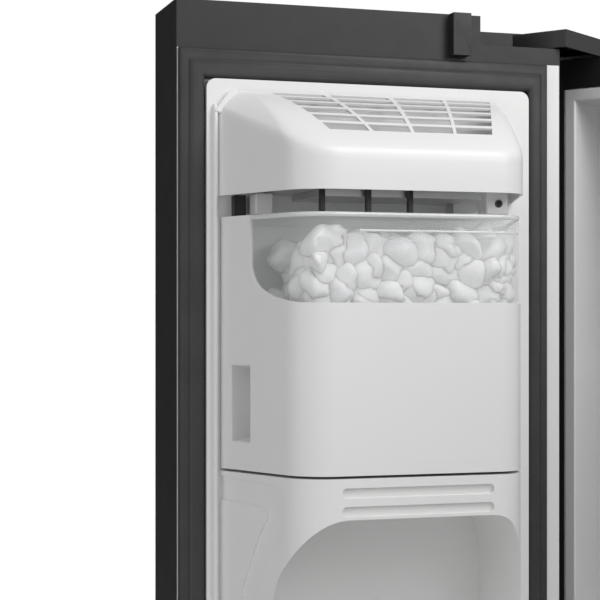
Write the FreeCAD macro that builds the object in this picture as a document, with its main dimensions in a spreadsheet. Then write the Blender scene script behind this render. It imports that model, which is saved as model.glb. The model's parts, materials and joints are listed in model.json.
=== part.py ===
"""Side by side refrigerator with an ice maker and ice bin on the freezer door.

Frame: origin at the centre of the cabinet's footprint on the floor, +X to the
user's right, +Y to the back, +Z up.  Both doors stand open.  A door's pieces are
drawn closed in the door's own frame (x across, y from the door's inner plane
towards the cabinet, z up from the floor) and turned about the hinge pin.
Lengths are millimetres, angles are degrees.
"""
import FreeCAD, Part
import math
import os
import re
import Sketcher

V = FreeCAD.Vector
doc = FreeCAD.newDocument("SideBySideRefrigerator")

# ---------------------------------------------------------------- driving sizes
SIZES = {
    # cabinet
    "case_wide": 911, "case_deep": 740, "case_top": 1752, "case_bottom": 28,
    "steel": 1, "side_wall": 45.5, "top_wall": 45, "back_wall": 60, "floor_wall": 50,
    "base_top": 60, "liner_wall": 2, "liner_rim": 13, "rim_thick": 2,
    "mullion_middle": -51.5, "mullion_wide": 67,
    "machine_high": 330, "machine_deep": 220, "step_wall": 40,
    # doors
    "door_gap": 6, "gasket_gap": 13, "door_deep": 90, "door_bottom": 62, "door_rise": 28,
    "cap_low": 20, "cap_high": 46, "hinge_floor_drop": 1, "hinge_recess": 88,
    "hinge_recess_wall": 6, "hinge_inset": 17.5, "hinge_to_face": 44, "open_angle": 126,
    "hinge_plate": 4, "hinge_arm": 11, "hinge_cover_high": 18, "hinge_cover_inner": 57,
    "hinge_cover_outer": -5, "hinge_cover_front": 18, "hinge_cover_back": 84,
    "gasket_hinge": 16.5, "gasket_free": 2, "gasket_thick": 11.6, "gasket_clear": 0.7,
    "plateau_hinge": 40.5, "plateau_free": 27, "plateau_rise": 12, "plateau_drop": 76,
    "plateau_raise": 50, "pin_radius": 6, "pin_clear": 0.3, "running_gap": 0.3,
    "peg_near": 103, "peg_far": 122,
    # ice maker, ice bin and the housing under it share one plan
    "ice_left": 362, "ice_knee_slant": 13, "ice_knee_in": 30, "ice_corner": 312,
    "ice_right": 103, "ice_right_back": 60, "ice_out": 130, "ice_corner_radius": 45,
    "ice_side_radius": 30, "ice_wall": 2.5,
    "bin_drop": 207.5, "bin_high": 237, "bin_back_gap": 0.5, "cover_gap": 20,
    "cover_wall_high": 35.5, "cover_rise": 63, "cover_mid_in": 55, "cover_mid_rise": 48,
    "housing_gap": 2.5, "housing_high": 393, "arch_drop": 37, "arch_high": 311,
    "arch_deep": 22, "arch_left": 331, "arch_right": 98, "arch_round_left": 50,
    "arch_round_right": 28, "groove_high": 9, "groove_deep": 4,
    "groove_drop": 17.4, "groove_step": 16.6, "groove_left": 131, "groove_right": 279,
    "window_raise": 154.5, "window_drop": 14, "window_start_out": 53,
    "ejector_radius": 26, "auger_radius": 24, "auger_in": 64, "mould_raise": 34,
    "bearing_clear": 0.3, "auger_shaft": 5, "ejector_shaft": 4, "cube_wide": 26,
    # dispenser in the outside of the freezer door
    "bezel_wide": 220, "bezel_raise": 24.5, "bezel_high": 400, "bezel_border": 10,
    "bezel_proud": 3, "niche_wide": 180, "niche_drop": 95.5, "niche_high": 250,
    "niche_wall_back": 20, "panel_gap": 22, "panel_high": 83, "paddle_wide": 60,
    "paddle_high": 112, "paddle_in": 46, "axle_drop": 14, "axle_radius": 4,
    "chute_wide": 70, "chute_deep": 34, "chute_long": 190, "tray_high": 12,
    # shelves, drawers and door bins
    "shelf_glass": 4, "shelf_set_back": 126, "shelf_raise": 270, "shelf_headroom": 287,
    "shelf_ledge": 14, "ledge_high": 8, "drawer_wall": 3, "drawer_hinge_inset": 36,
    "drawer_inner_inset": 24, "drawer_front": 18, "drawer_set_back": 97,
    "drawer_floor_gap": 12, "drawer_step_gap": 40, "drawer_upper_gap": 22,
    "drawer_upper_high": 183, "drawer_flange": 3, "flange_drop": 12,
    "door_bin_hinge": 90, "door_bin_out": 100, "door_bin_wall": 2.5, "door_bin_high": 110,
    "door_bin_raise": 68, "door_bin_under": 270, "door_bin_under_top": 260,
    # running gear and machine space
    "roller_radius": 25, "roller_wide": 20, "roller_inset": 55, "roller_back": 40,
    "foot_radius": 20, "foot_high": 10, "foot_back": 40, "stem_radius": 5,
    "handle_out": 52, "handle_wide": 22, "handle_deep": 14, "handle_raise": 658,
    "handle_drop": 220, "handle_inset": 44, "fan_hub": 14, "fan_bore": 4.3, "fan_shaft": 4,
    "cold_fan_radius": 50, "cold_fan_drop": 387, "warm_fan_radius": 78,
    "warm_fan_raise": 130, "stub_radius": 13, "cord_radius": 5, "service_raise": 32,
    "service_inset": 40,
}

# places worked out from the driving sizes and from the places above them
PLACES = {
    "left": "-case_wide / 2",
    "right": "case_wide / 2",
    "front": "-case_deep / 2",
    "back": "case_deep / 2",
    "door_back": "-case_deep / 2 - gasket_gap",
    "door_split_right": "mullion_middle + door_gap / 2",
    "freezer_left": "-case_wide / 2 + side_wall",
    "freezer_right": "mullion_middle - mullion_wide / 2",
    "fridge_left": "mullion_middle + mullion_wide / 2",
    "fridge_right": "case_wide / 2 - side_wall",
    "ceiling": "case_top - top_wall",
    "ground": "base_top + floor_wall",
    "rear": "case_deep / 2 - back_wall",
    "machine_front": "case_deep / 2 - machine_deep",
    "step_front": "case_deep / 2 - machine_deep - step_wall",
    "step_top": "machine_high + step_wall",
    "shelf_first": "step_top + shelf_raise",
    "shelf_step": "(ceiling - shelf_first - shelf_headroom) / 3",
    "freezer_door_wide": "mullion_middle - door_gap / 2 + case_wide / 2",
    "fridge_door_wide": "case_wide / 2 - mullion_middle - door_gap / 2",
    "door_top": "case_top + door_rise",
    "cap_top_edge": "door_top - cap_high",
    "hinge_floor": "case_top - hinge_floor_drop",
    "hinge_recess_deep": "door_deep - hinge_recess_wall",
    "hinge_back": "door_deep - hinge_to_face",
    "cap_bottom_edge": "door_bottom + cap_low",
    "gasket_low": "cap_bottom_edge + 2",
    "gasket_high": "cap_top_edge - 3",
    "plateau_low": "door_bottom + plateau_raise",
    "plateau_top": "door_top - plateau_drop",
    "ice_knee": "ice_corner + ice_knee_slant",
    "ice_knee_out": "ice_out - ice_knee_in",
    "bin_top": "door_top - bin_drop",
    "bin_low": "bin_top - bin_high",
    "cover_low": "bin_top + cover_gap",
    "cover_crease": "cover_low + cover_wall_high",
    "cover_back_top": "cover_crease + cover_rise",
    "cover_mid_out": "ice_out - cover_mid_in",
    "auger_out": "ice_out - auger_in",
    "cover_mid_top": "cover_crease + cover_mid_rise",
    "housing_top": "bin_low - housing_gap",
    "housing_low": "housing_top - housing_high",
    "arch_top": "housing_top - arch_drop",
    "arch_low": "arch_top - arch_high",
    "groove_first": "housing_top - groove_drop",
    "window_low": "bin_low + window_raise",
    "auger_height": "bin_low + ice_wall + auger_radius + 6",
    "mould_height": "cover_low + mould_raise",
    "bezel_top": "bin_low + bezel_raise",
    "bezel_low": "bezel_top - bezel_high",
    "niche_top": "bin_low - niche_drop",
    "niche_low": "niche_top - niche_high",
    "niche_deep": "door_deep - niche_wall_back",
    "panel_low": "niche_top + panel_gap",
    "panel_top": "panel_low + panel_high",
    "axle_height": "niche_top - axle_drop",
    "paddle_out": "door_deep - paddle_in",
    "dispenser_middle": "freezer_door_wide / 2",
    "freezer_bin_first": "door_bottom + door_bin_raise",
    "freezer_bin_step": "(housing_low - door_bin_under - freezer_bin_first) / 2",
    "fridge_bin_step": "(door_top - door_bin_under_top - freezer_bin_first) / 5",
    "handle_low": "door_bottom + handle_raise",
    "handle_top": "door_top - handle_drop",
    "cold_fan_height": "ceiling - cold_fan_drop",
    "cold_fan_middle": "(freezer_left + freezer_right) / 2",
    "fin_first": "step_top + 290",
    "fin_step": "(cold_fan_height - 220 - fin_first) / 11",
    "service_height": "base_top + service_raise",
}


def make_sheet(name, cells):
    """A spreadsheet with one aliased cell for each entry."""
    sheet = doc.addObject("Spreadsheet::Sheet", name)
    for row, (alias, content) in enumerate(cells.items(), start=1):
        sheet.set(f"A{row}", alias)
        sheet.set(f"B{row}", content)
        sheet.setAlias(f"B{row}", alias)
    doc.recompute()
    return sheet


def with_sheets(expression, places="Places."):
    """Put the sheet's name in front of each size or place in an expression."""
    def prefix(match):
        word = match.group(0)
        if word in SIZES:
            return "Sizes." + word
        if word in PLACES:
            return places + word
        return word
    return re.sub(r"[A-Za-z_]\w*", prefix, str(expression))


sizes = make_sheet("Sizes", {name: str(value) for name, value in SIZES.items()})
places = make_sheet("Places", {name: "=" + with_sheets(formula, "")
                               for name, formula in PLACES.items()})


def size(name):
    """The value of a driving size or a place."""
    sheet = sizes if name in SIZES else places
    return float(sheet.get(name))


# ---------------------------------------------------------------- building blocks
def bind(thing, prop, expression):
    """Tie one property to the sheets."""
    thing.setExpression(prop, with_sheets(expression))


def box(x, y, z, name="Block"):
    """A block between a low and a high expression on each axis."""
    block = doc.addObject("Part::Box", name)
    for axis, side, (low, high) in (("x", "Length", x), ("y", "Width", y), ("z", "Height", z)):
        bind(block, side, f"({high}) - ({low})")
        bind(block, f"Placement.Base.{axis}", low)
    return block


AXIS_TURN = {
    "x": FreeCAD.Rotation(V(0, 1, 0), 90),
    "y": FreeCAD.Rotation(V(1, 0, 0), -90),
    "z": FreeCAD.Rotation(),
}


def rod(axis, radius, start, length, name="Rod"):
    """A cylinder along an axis; start holds three expressions."""
    cylinder = doc.addObject("Part::Cylinder", name)
    cylinder.Placement = FreeCAD.Placement(V(0, 0, 0), AXIS_TURN[axis])
    bind(cylinder, "Radius", radius)
    bind(cylinder, "Height", length)
    for letter, expression in zip("xyz", start):
        bind(cylinder, f"Placement.Base.{letter}", expression)
    return cylinder


def cut(base, *tools):
    """Base less each tool in turn; a row of separate tools comes as one group."""
    for tool in tools:
        result = doc.addObject("Part::Cut", "Cut")
        result.Base = base
        result.Tool = tool
        base = result
    return base


def fuse(*shapes):
    """One solid from shapes that touch."""
    result = doc.addObject("Part::MultiFuse", "Fusion")
    result.Shapes = list(shapes)
    return result


def common(first, second):
    """What two shapes share."""
    result = doc.addObject("Part::Common", "Common")
    result.Base = first
    result.Tool = second
    return result


def group(shapes):
    """Several shapes as one object."""
    result = doc.addObject("Part::Compound", "Group")
    result.Links = list(shapes)
    return result


def origin_plane(body, role):
    """One of a body's own origin planes."""
    return next(item for item in body.Origin.OriginFeatures if item.Role == role)


def outline(body, plane, points):
    """A closed polygon sketch whose corners are tied to the sheets."""
    sketch = body.newObject("Sketcher::SketchObject", "Outline")
    sketch.AttachmentSupport = [(origin_plane(body, plane), "")]
    sketch.MapMode = "FlatFace"
    start = [V(90 + 50 * math.cos(turn), 90 + 50 * math.sin(turn), 0)
             for turn in (2 * math.pi * index / len(points) for index in range(len(points)))]
    for index, corner in enumerate(start):
        sketch.addGeometry(Part.LineSegment(corner, start[(index + 1) % len(start)]))
    for index in range(len(points)):
        sketch.addConstraint(
            Sketcher.Constraint("Coincident", index, 2, (index + 1) % len(points), 1))
    for index, (first, second) in enumerate(points):
        for kind, expression, datum in (("DistanceX", first, start[index].x),
                                        ("DistanceY", second, start[index].y)):
            row = sketch.addConstraint(Sketcher.Constraint(kind, -1, 1, index, 1, datum))
            sketch.setExpression(f"Constraints[{row}]", with_sheets(expression))
    return sketch


def extrusion(points, low, high, plane="XY_Plane", radii=None):
    """A padded outline; radii maps a corner's number to a fillet expression."""
    body = doc.addObject("PartDesign::Body", "Moulding")
    sketch = outline(body, plane, points)
    pad = body.newObject("PartDesign::Pad", "Pad")
    pad.Profile = sketch
    bind(pad, "Length", f"({high}) - ({low})")
    bind(body, "Placement.Base." + {"XY_Plane": "z", "YZ_Plane": "x"}[plane], low)
    doc.recompute()
    for corner, radius in (radii or {}).items():
        solid = body.Tip
        fillet = body.newObject("PartDesign::Fillet", "Fillet")
        fillet.Base = (solid, [edge_at(solid.Shape, sketch, corner, plane)])
        bind(fillet, "Radius", radius)
        body.Tip = fillet
        doc.recompute()
    return body


def edge_at(shape, sketch, corner, plane):
    """The long edge that stands on one corner of the outline."""
    spot = sketch.getPoint(corner, 1)
    for number, edge in enumerate(shape.Edges, start=1):
        middle = edge.CenterOfMass
        across = (middle.x, middle.y) if plane == "XY_Plane" else (middle.y, middle.z)
        if math.dist(across, (spot.x, spot.y)) < 0.01:
            return f"Edge{number}"
    raise ValueError(f"no edge on corner {corner}")


# ---------------------------------------------------------------- sub-parts
SUB_PARTS = []


def sub_part(name, shapes, placement=None):
    """Name a sub-part, keep it for export and put it in its place."""
    part = group(shapes)
    part.Label = name
    part.Placement = placement or FreeCAD.Placement()
    SUB_PARTS.append(part)
    return part


def door_placement(shift, pin, turn):
    """A closed door's frame moved to the cabinet and turned about its pin."""
    closed = FreeCAD.Placement(shift, FreeCAD.Rotation())
    opened = FreeCAD.Placement(V(0, 0, 0), FreeCAD.Rotation(V(0, 0, 1), turn), pin + shift)
    return opened * closed


def door_pin(x):
    """Where a door's hinge axis stands in the door's own frame."""
    return V(x, -size("hinge_back"), 0)


FREEZER_DOOR = door_placement(
    V(size("left"), size("door_back"), 0),
    door_pin(size("hinge_inset")), -size("open_angle"))
FRIDGE_DOOR = door_placement(
    V(size("door_split_right"), size("door_back"), 0),
    door_pin(size("fridge_door_wide") - size("hinge_inset")), size("open_angle"))


# ---------------------------------------------------------------- cabinet
def cabinet_shell():
    """Folded steel wrapper, back panel, base and the rail between the doors."""
    outer = box(("left", "right"), ("front", "back"), ("case_bottom", "case_top"))
    hollow = box(("left + steel", "right - steel"), ("front + steel", "back + 1"),
                 ("case_bottom - 1", "case_top - steel"))
    mouth = box(("freezer_left - liner_rim", "fridge_right + liner_rim"),
                ("front - 1", "front + steel + 1"),
                ("ground - liner_rim", "ceiling + liner_rim"))
    kick = box(("left + steel", "right - steel"), ("front - 1", "front + steel + 1"),
               ("case_bottom - 1", "base_top"))
    sub_part("cabinet_wrapper", [cut(outer, hollow, mouth, kick)])
    sub_part("back_panel", [box(("left + steel", "right - steel"), ("back - steel", "back"),
                                ("machine_high", "case_top - steel"))])
    sub_part("mullion_rail", [box(
        ("freezer_right + liner_rim", "fridge_left - liner_rim"),
        ("front", "front + rim_thick"), ("ground - liner_rim", "ceiling + liner_rim"))])


def rear_wheel_x(side):
    """The middle of a rear roller on the left (-1) or right (1)."""
    return f"{side} * (case_wide / 2 - roller_inset)"


WHEEL_Y = "back - roller_back"


def base_frame():
    """Floor pan with side rails, front rail and forks for the rear rollers."""
    pan = box(("left + steel", "right - steel"), ("front + steel", "back - steel"),
              ("base_top - 2", "base_top"))
    rails = [box((f"{low} - 6", f"{low} + 6"), ("front + 8", "back - 8"),
                 ("case_bottom + 4", "base_top - 2"))
             for low in ("left + 14", "right - 14")]
    cross = box(("left + 20", "right - 20"), ("front + 8", "front + 20"),
                ("case_bottom + 4", "base_top - 2"))
    parts = [pan, *rails, cross]
    for side in (-1, 1):
        middle = rear_wheel_x(side)
        for cheek in (-1, 1):
            inner = f"{middle} + {cheek} * (roller_wide / 2 + 2)"
            parts.append(box((f"{inner} - 1.5", f"{inner} + 1.5"),
                             (f"{WHEEL_Y} - 14", f"{WHEEL_Y} + 14"),
                             ("roller_radius - 12", "base_top - 2")))
        parts.append(rod("x", "pin_radius", (f"{middle} - roller_wide / 2 - 3", WHEEL_Y,
                                             "roller_radius"), "roller_wide + 6"))
        foot_x = f"{side} * (case_wide / 2 - roller_inset)"
        parts.append(box((f"{foot_x} - 16", f"{foot_x} + 16"),
                         ("front + foot_back - 22", "front + foot_back + 20"),
                         ("base_top - 12", "base_top - 2")))
    frame = fuse(*parts)
    stems = [rod("z", "stem_radius", (f"{side} * (case_wide / 2 - roller_inset)",
                                      "front + foot_back", "0"), "base_top - 2")
             for side in (-1, 1)]
    sub_part("base_frame", [cut(frame, group(stems))])


def feet_and_rollers():
    """Two screw feet at the front and two rollers at the back."""
    feet = []
    for side in (-1, 1):
        x = f"{side} * (case_wide / 2 - roller_inset)"
        pad = rod("z", "foot_radius", (x, "front + foot_back", "0"), "foot_high")
        stem = rod("z", "stem_radius", (x, "front + foot_back", "foot_high"),
                   "base_top - 2 - foot_high")
        feet.append(fuse(pad, stem))
    sub_part("levelling_feet", feet)
    for side, name in ((-1, "rear_roller_left"), (1, "rear_roller_right")):
        start = f"{rear_wheel_x(side)} - roller_wide / 2"
        tyre = rod("x", "roller_radius", (start, WHEEL_Y, "roller_radius"), "roller_wide")
        bore = rod("x", "pin_radius + pin_clear", (f"{start} - 1", WHEEL_Y, "roller_radius"),
                   "roller_wide + 2")
        sub_part(name, [cut(tyre, bore)])
    grille = box(("left + 46", "right - 46"), ("front - 6", "front + 8"),
                 ("14", "base_top - 3"))
    slots = [box((f"left + 60 + {step} * (case_wide - 120) / 12",
                  f"left + 60 + {step} * (case_wide - 120) / 12 + 50"),
                 ("front - 7", "front + 9"), (f"22 + {row} * 10", f"27 + {row} * 10"))
             for step in range(12) for row in range(3)]
    sub_part("toe_grille", [cut(grille, group(slots))])


def liner(x_low, x_high):
    """A plastic compartment tub with a rim, a step over the machine space and ledges."""
    body = box((f"{x_low} - liner_wall", f"{x_high} + liner_wall"),
               ("front", "rear + liner_wall"), ("ground - liner_wall", "ceiling + liner_wall"))
    rim = box((f"{x_low} - liner_rim", f"{x_high} + liner_rim"),
              ("front", "front + rim_thick"), ("ground - liner_rim", "ceiling + liner_rim"))
    step_out = box((f"{x_low} - liner_wall - 1", f"{x_high} + liner_wall + 1"),
                   ("step_front + liner_wall", "rear + liner_wall + 1"),
                   ("ground - liner_wall - 1", "step_top - liner_wall"))
    cavity = box((x_low, x_high), ("front - 1", "rear"), ("ground", "ceiling"))
    step_in = box((f"{x_low} - 1", f"{x_high} + 1"), ("step_front", "rear + 1"),
                  ("ground - 1", "step_top"))
    shell = cut(fuse(cut(body, step_out), rim), cut(cavity, step_in))
    return shell


SHELF_LEVELS = [f"(shelf_first + {row} * shelf_step)" for row in range(4)]
DRAWER_ROWS = {
    "lower": ("(ground + drawer_floor_gap)", "(step_top - drawer_step_gap)"),
    "upper": ("(step_top + drawer_upper_gap)",
              "(step_top + drawer_upper_gap + drawer_upper_high)"),
}
FREEZER_INSETS = ("freezer_left + drawer_hinge_inset", "freezer_right - drawer_inner_inset")
FRIDGE_INSETS = ("fridge_left + drawer_inner_inset", "fridge_right - drawer_hinge_inset")


def ledges(x_low, x_high, insets):
    """Ledges on both side walls for the shelves and the drawers' rear flanges."""
    rails = []
    for level in SHELF_LEVELS:
        for near, far in ((x_low, f"{x_low} + shelf_ledge"),
                          (f"{x_high} - shelf_ledge", x_high)):
            rails.append(box((near, far), ("front + shelf_set_back - 4", "rear - 80"),
                             (f"{level} - ledge_high", level)))
    for low, high in DRAWER_ROWS.values():
        top = f"{high} - flange_drop - running_gap"
        rails.append(box((x_low, f"{insets[0]} - 1"), ("front + shelf_set_back", "step_front - 6"),
                         (f"{top} - ledge_high", top)))
        rails.append(box((f"{insets[1]} + 1", x_high), ("front + shelf_set_back", "step_front - 6"),
                         (f"{top} - ledge_high", top)))
    return rails


def compartments():
    """Both tubs, the foam round them, shelves and the back covers."""
    freezer = fuse(liner("freezer_left", "freezer_right"),
                   *ledges("freezer_left", "freezer_right", FREEZER_INSETS))
    fridge = fuse(liner("fridge_left", "fridge_right"),
                  *ledges("fridge_left", "fridge_right", FRIDGE_INSETS))
    sub_part("freezer_liner", [freezer])
    sub_part("fridge_liner", [fridge])
    block = box(("left + steel", "right - steel"), ("front + rim_thick", "back - steel"),
                ("base_top", "case_top - steel"))
    machine = box(("left", "right"), ("machine_front", "back"),
                  ("base_top - 1", "machine_high"))
    tubs = []
    for x_low, x_high in (("freezer_left", "freezer_right"), ("fridge_left", "fridge_right")):
        tub = box((f"{x_low} - liner_wall", f"{x_high} + liner_wall"),
                  ("front", "rear + liner_wall"),
                  ("ground - liner_wall", "ceiling + liner_wall"))
        step = box((f"{x_low} - liner_wall - 1", f"{x_high} + liner_wall + 1"),
                   ("step_front + liner_wall", "rear + liner_wall + 1"),
                   ("ground - liner_wall - 1", "step_top - liner_wall"))
        tubs.append(cut(tub, step))
    sub_part("insulation_foam", [cut(block, machine, *tubs)])


def shelves():
    """Glass shelves with front trims on the ledges of both compartments."""
    trims = []
    for name, x_low, x_high in (("freezer_shelves", "freezer_left", "freezer_right"),
                                ("fridge_shelves", "fridge_left", "fridge_right")):
        panes = []
        for level in SHELF_LEVELS:
            panes.append(box((f"{x_low} + 3", f"{x_high} - 3"),
                             ("front + shelf_set_back + 8", "rear - 82"),
                             (level, f"{level} + shelf_glass")))
            trims.append(box((f"{x_low} + shelf_ledge + 2", f"{x_high} - shelf_ledge - 2"),
                             ("front + shelf_set_back", "front + shelf_set_back + 8"),
                             (f"{level} - 8", f"{level} + 12")))
        sub_part(name, panes)
    sub_part("shelf_trims", trims)


def drawer(x_low, x_high, z_low, z_high):
    """A tub drawer with a thick front and flanges along its rear half."""
    body = box((x_low, x_high), ("front + drawer_set_back", "step_front - 12"), (z_low, z_high))
    inside = box((f"{x_low} + drawer_wall", f"{x_high} - drawer_wall"),
                 ("front + drawer_set_back + drawer_front", "step_front - 12 - drawer_wall"),
                 (f"{z_low} + drawer_wall", f"{z_high} + 1"))
    grip = box((f"({x_low} + {x_high}) / 2 - 60", f"({x_low} + {x_high}) / 2 + 60"),
               ("front + drawer_set_back - 1", "front + drawer_set_back + drawer_front - 5"),
               (f"{z_high} - 34", f"{z_high} - 14"))
    flanges = [box((f"{x_low} - 8", f"{x_low} + 1"), ("step_front - 230", "step_front - 12"),
                   (f"{z_high} - flange_drop", f"{z_high} - flange_drop + drawer_flange")),
               box((f"{x_high} - 1", f"{x_high} + 8"), ("step_front - 230", "step_front - 12"),
                   (f"{z_high} - flange_drop", f"{z_high} - flange_drop + drawer_flange"))]
    return cut(fuse(body, *flanges), inside, grip)


def drawers():
    """Two freezer drawers and two crispers."""
    for kind, insets in (("freezer_drawer", FREEZER_INSETS), ("crisper", FRIDGE_INSETS)):
        for row, (low, high) in DRAWER_ROWS.items():
            sub_part(f"{kind}_{row}", [drawer(*insets, low, high)])


FAN_X = "cold_fan_middle"
FAN_Z = "cold_fan_height"
VENTS = (-140, -120, 160, 180, 280, 300)
FINS = 12


def cold_side():
    """Evaporator, its fan and the air covers at the back of the compartments."""
    cover = box(("freezer_left + 6", "freezer_right - 6"), ("rear - 76", "rear - 72"),
                ("step_top + 20", "ceiling - 30"))
    sides = [box((f"{x} - 3", f"{x} + 3"), ("rear - 73", "rear"),
                 ("step_top + 20", "ceiling - 30"))
             for x in ("freezer_left + 12", "freezer_right - 12")]
    vents = [box((f"{FAN_X} - 90", f"{FAN_X} + 90"), ("rear - 80", "rear - 70"),
                 (f"{FAN_Z} + {level}", f"{FAN_Z} + {level} + 8")) for level in VENTS]
    eye = rod("y", "cold_fan_radius + 8", (FAN_X, "rear - 80", FAN_Z), "10")
    spider = [box((f"{FAN_X} - 60", f"{FAN_X} + 60"), ("rear - 76", "rear - 72"),
                  (f"{FAN_Z} - 4", f"{FAN_Z} + 4")),
              box((f"{FAN_X} - 4", f"{FAN_X} + 4"), ("rear - 76", "rear - 72"),
                  (f"{FAN_Z} - 60", f"{FAN_Z} + 60")),
              rod("y", "16", (FAN_X, "rear - 76", FAN_Z), "22"),
              rod("y", "fan_shaft", (FAN_X, "rear - 54.5", FAN_Z), "24")]
    sub_part("freezer_air_cover", [fuse(cut(fuse(cover, *sides), group(vents), eye), *spider)])
    sub_part("evaporator_fan", [fan("y", "cold_fan_radius", (FAN_X, "rear - 50", FAN_Z), 14)])
    fins = [box(("freezer_left + 30", "freezer_right - 30"), ("rear - 62", "rear - 8"),
                (f"fin_first + {row} * fin_step", f"fin_first + 2 + {row} * fin_step"))
            for row in range(FINS)]
    tubes = [rod("z", "5", (f"freezer_left + 50 + {column} * 44", f"rear - {depth}",
                        "fin_first - 10"), "11 * fin_step + 30")
             for column in range(6) for depth in (22, 48)]
    bends = box(("freezer_left + 44", "freezer_right - 44"), ("rear - 8", "rear"),
                ("fin_first + fin_step", "fin_first + fin_step + 16"))
    sub_part("evaporator", [fuse(*fins, *tubes, bends)])
    duct = box(("fridge_left + 120", "fridge_right - 120"), ("rear - 24", "rear"),
               ("step_top + 20", "ceiling - 30"))
    holes = [box(("fridge_left + 150", "fridge_right - 150"), ("rear - 25", "rear - 10"),
                 (f"{level} + 40", f"{level} + 52")) for level in SHELF_LEVELS]
    sub_part("fridge_air_duct", [cut(duct, group(holes))])
    lenses = [box((f"({low} + {high}) / 2 - 60", f"({low} + {high}) / 2 + 60"),
                  ("front + 90", "front + 170"), ("ceiling - 9", "ceiling"))
              for low, high in (("freezer_left", "freezer_right"),
                                ("fridge_left", "fridge_right"))]
    sub_part("light_lenses", lenses)


BLADES = 5
BLADE_WIDE = 20
BLADE_PITCH = 28


def fan(axis, radius, start, length):
    """A hub with five flat blades and a bore for its shaft."""
    hub = rod(axis, "fan_hub", start, str(length))
    bore = rod(axis, "fan_bore", start, str(length))
    root, reach = size("fan_hub") - 2, size(radius)
    blades = []
    for turn in range(BLADES):
        blade = Part.makeBox(length * 0.8, BLADE_WIDE, reach - root,
                             V(length * 0.1, -BLADE_WIDE / 2, root))
        blade.rotate(V(0, 0, reach / 2), V(0, 0, 1), BLADE_PITCH)
        blade.rotate(V(0, 0, 0), V(1, 0, 0), 360 / BLADES * turn)
        if axis == "y":
            blade.rotate(V(0, 0, 0), V(0, 0, 1), 90)
        feature = doc.addObject("Part::Feature", "Blade")
        feature.Shape = blade
        for letter, expression in zip("xyz", start):
            bind(feature, f"Placement.Base.{letter}", expression)
        blades.append(feature)
    return cut(fuse(hub, *blades), bore)


def warm_side():
    """Compressor, condenser, its fan, drain pan, valve and the cover behind them."""
    x, y = "left + 170", "machine_front + 110"
    shell = rod("z", "72", (x, y, "base_top + 16"), "130")
    dome = doc.addObject("Part::Sphere", "Dome")
    dome.Radius = 80
    for letter, expression in zip("xyz", (x, y, "base_top + 116")):
        bind(dome, f"Placement.Base.{letter}", expression)
    plate = box((f"{x} - 84", f"{x} + 84"), (f"{y} - 60", f"{y} + 60"),
                ("base_top + 12", "base_top + 17"))
    feet = [rod("z", "10", (f"{x} + {across}", f"{y} + {deep}", "base_top"), "13")
            for across in (-70, 70) for deep in (-46, 46)]
    tube = rod("z", "4", (f"{x} + 60", f"{y} + 20", "base_top + 120"), "100")
    sub_part("compressor", [fuse(shell, common(dome, box(
        (f"{x} - 72", f"{x} + 72"), (f"{y} - 72", f"{y} + 72"),
        ("base_top + 140", "base_top + 200"))), plate, *feet, tube)])
    pan = box(("0", "right - 60"), ("machine_front + 10", "back - 16"),
              ("base_top", "base_top + 30"))
    basin = box(("3", "right - 63"), ("machine_front + 13", "back - 19"),
                ("base_top + 3", "base_top + 31"))
    sub_part("drain_pan", [cut(pan, basin)])
    fins = [box((f"20 + {row} * 12", f"21.5 + {row} * 12"), ("machine_front + 20", "back - 30"),
                ("base_top + 45", "machine_high - 30")) for row in range(24)]
    tubes = [rod("x", "4", ("12", f"machine_front + 40 + {column} * 44",
                            f"base_top + 70 + {level} * 50"), "290")
             for column in range(4) for level in range(4)]
    legs = [box((x_low, f"{x_low} + 4"), (y_low, f"{y_low} + 5"),
                ("base_top + 3", "base_top + 60"))
            for x_low in ("20", "293") for y_low in ("machine_front + 20", "back - 35")]
    sub_part("condenser", [fuse(*fins, *tubes, *legs)])
    y, z = "machine_front + 108", "base_top + warm_fan_raise"
    board = box(("-62", "-58"), ("machine_front + 6", "back - 4"),
                ("base_top", "machine_high - 4"))
    hole = rod("x", "warm_fan_radius + 6", ("-63", y, z), "6")
    motor = [rod("x", "22", ("-58", y, z), "30"), rod("x", "fan_shaft", ("-86", y, z), "30"),
             box(("-62", "-58"), (f"{y} - warm_fan_radius - 8", f"{y} + warm_fan_radius + 8"),
                 (f"{z} - 5", f"{z} + 5"))]
    sub_part("condenser_shroud", [fuse(cut(board, hole), *motor)])
    sub_part("condenser_fan", [fan("x", "warm_fan_radius", ("-82", y, z), 16)])
    cover = box(("left + steel", "right - steel"), ("back - steel", "back"),
                ("case_bottom + 34", "machine_high"))
    louvres = [box((f"left + 60 + {column} * 135", f"left + 150 + {column} * 135"),
                   ("back - 2", "back + 1"), (f"120 + {row} * 20", f"127 + {row} * 20"))
               for column in range(6) for row in range(8)]
    valve_hole = rod("y", "stub_radius + 3",
                     ("right - service_inset", "back - 2", "service_height"), "4")
    sub_part("machine_cover", [cut(cover, group(louvres), valve_hole)])
    body = box(("right - service_inset - 18", "right - service_inset + 18"),
               ("back - 50", "back - 8"), ("base_top", "service_height + 20"))
    inlet = rod("y", "stub_radius", ("right - service_inset", "back - 9", "service_height"), "22")
    sub_part("water_valve", [fuse(body, inlet)])
    gland = rod("y", "stub_radius", ("left + service_inset", "back", "service_height"), "8")
    bore = rod("y", "cord_radius", ("left + service_inset", "back - 1", "service_height"), "10")
    sub_part("power_cord_gland", [cut(gland, bore)])


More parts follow.
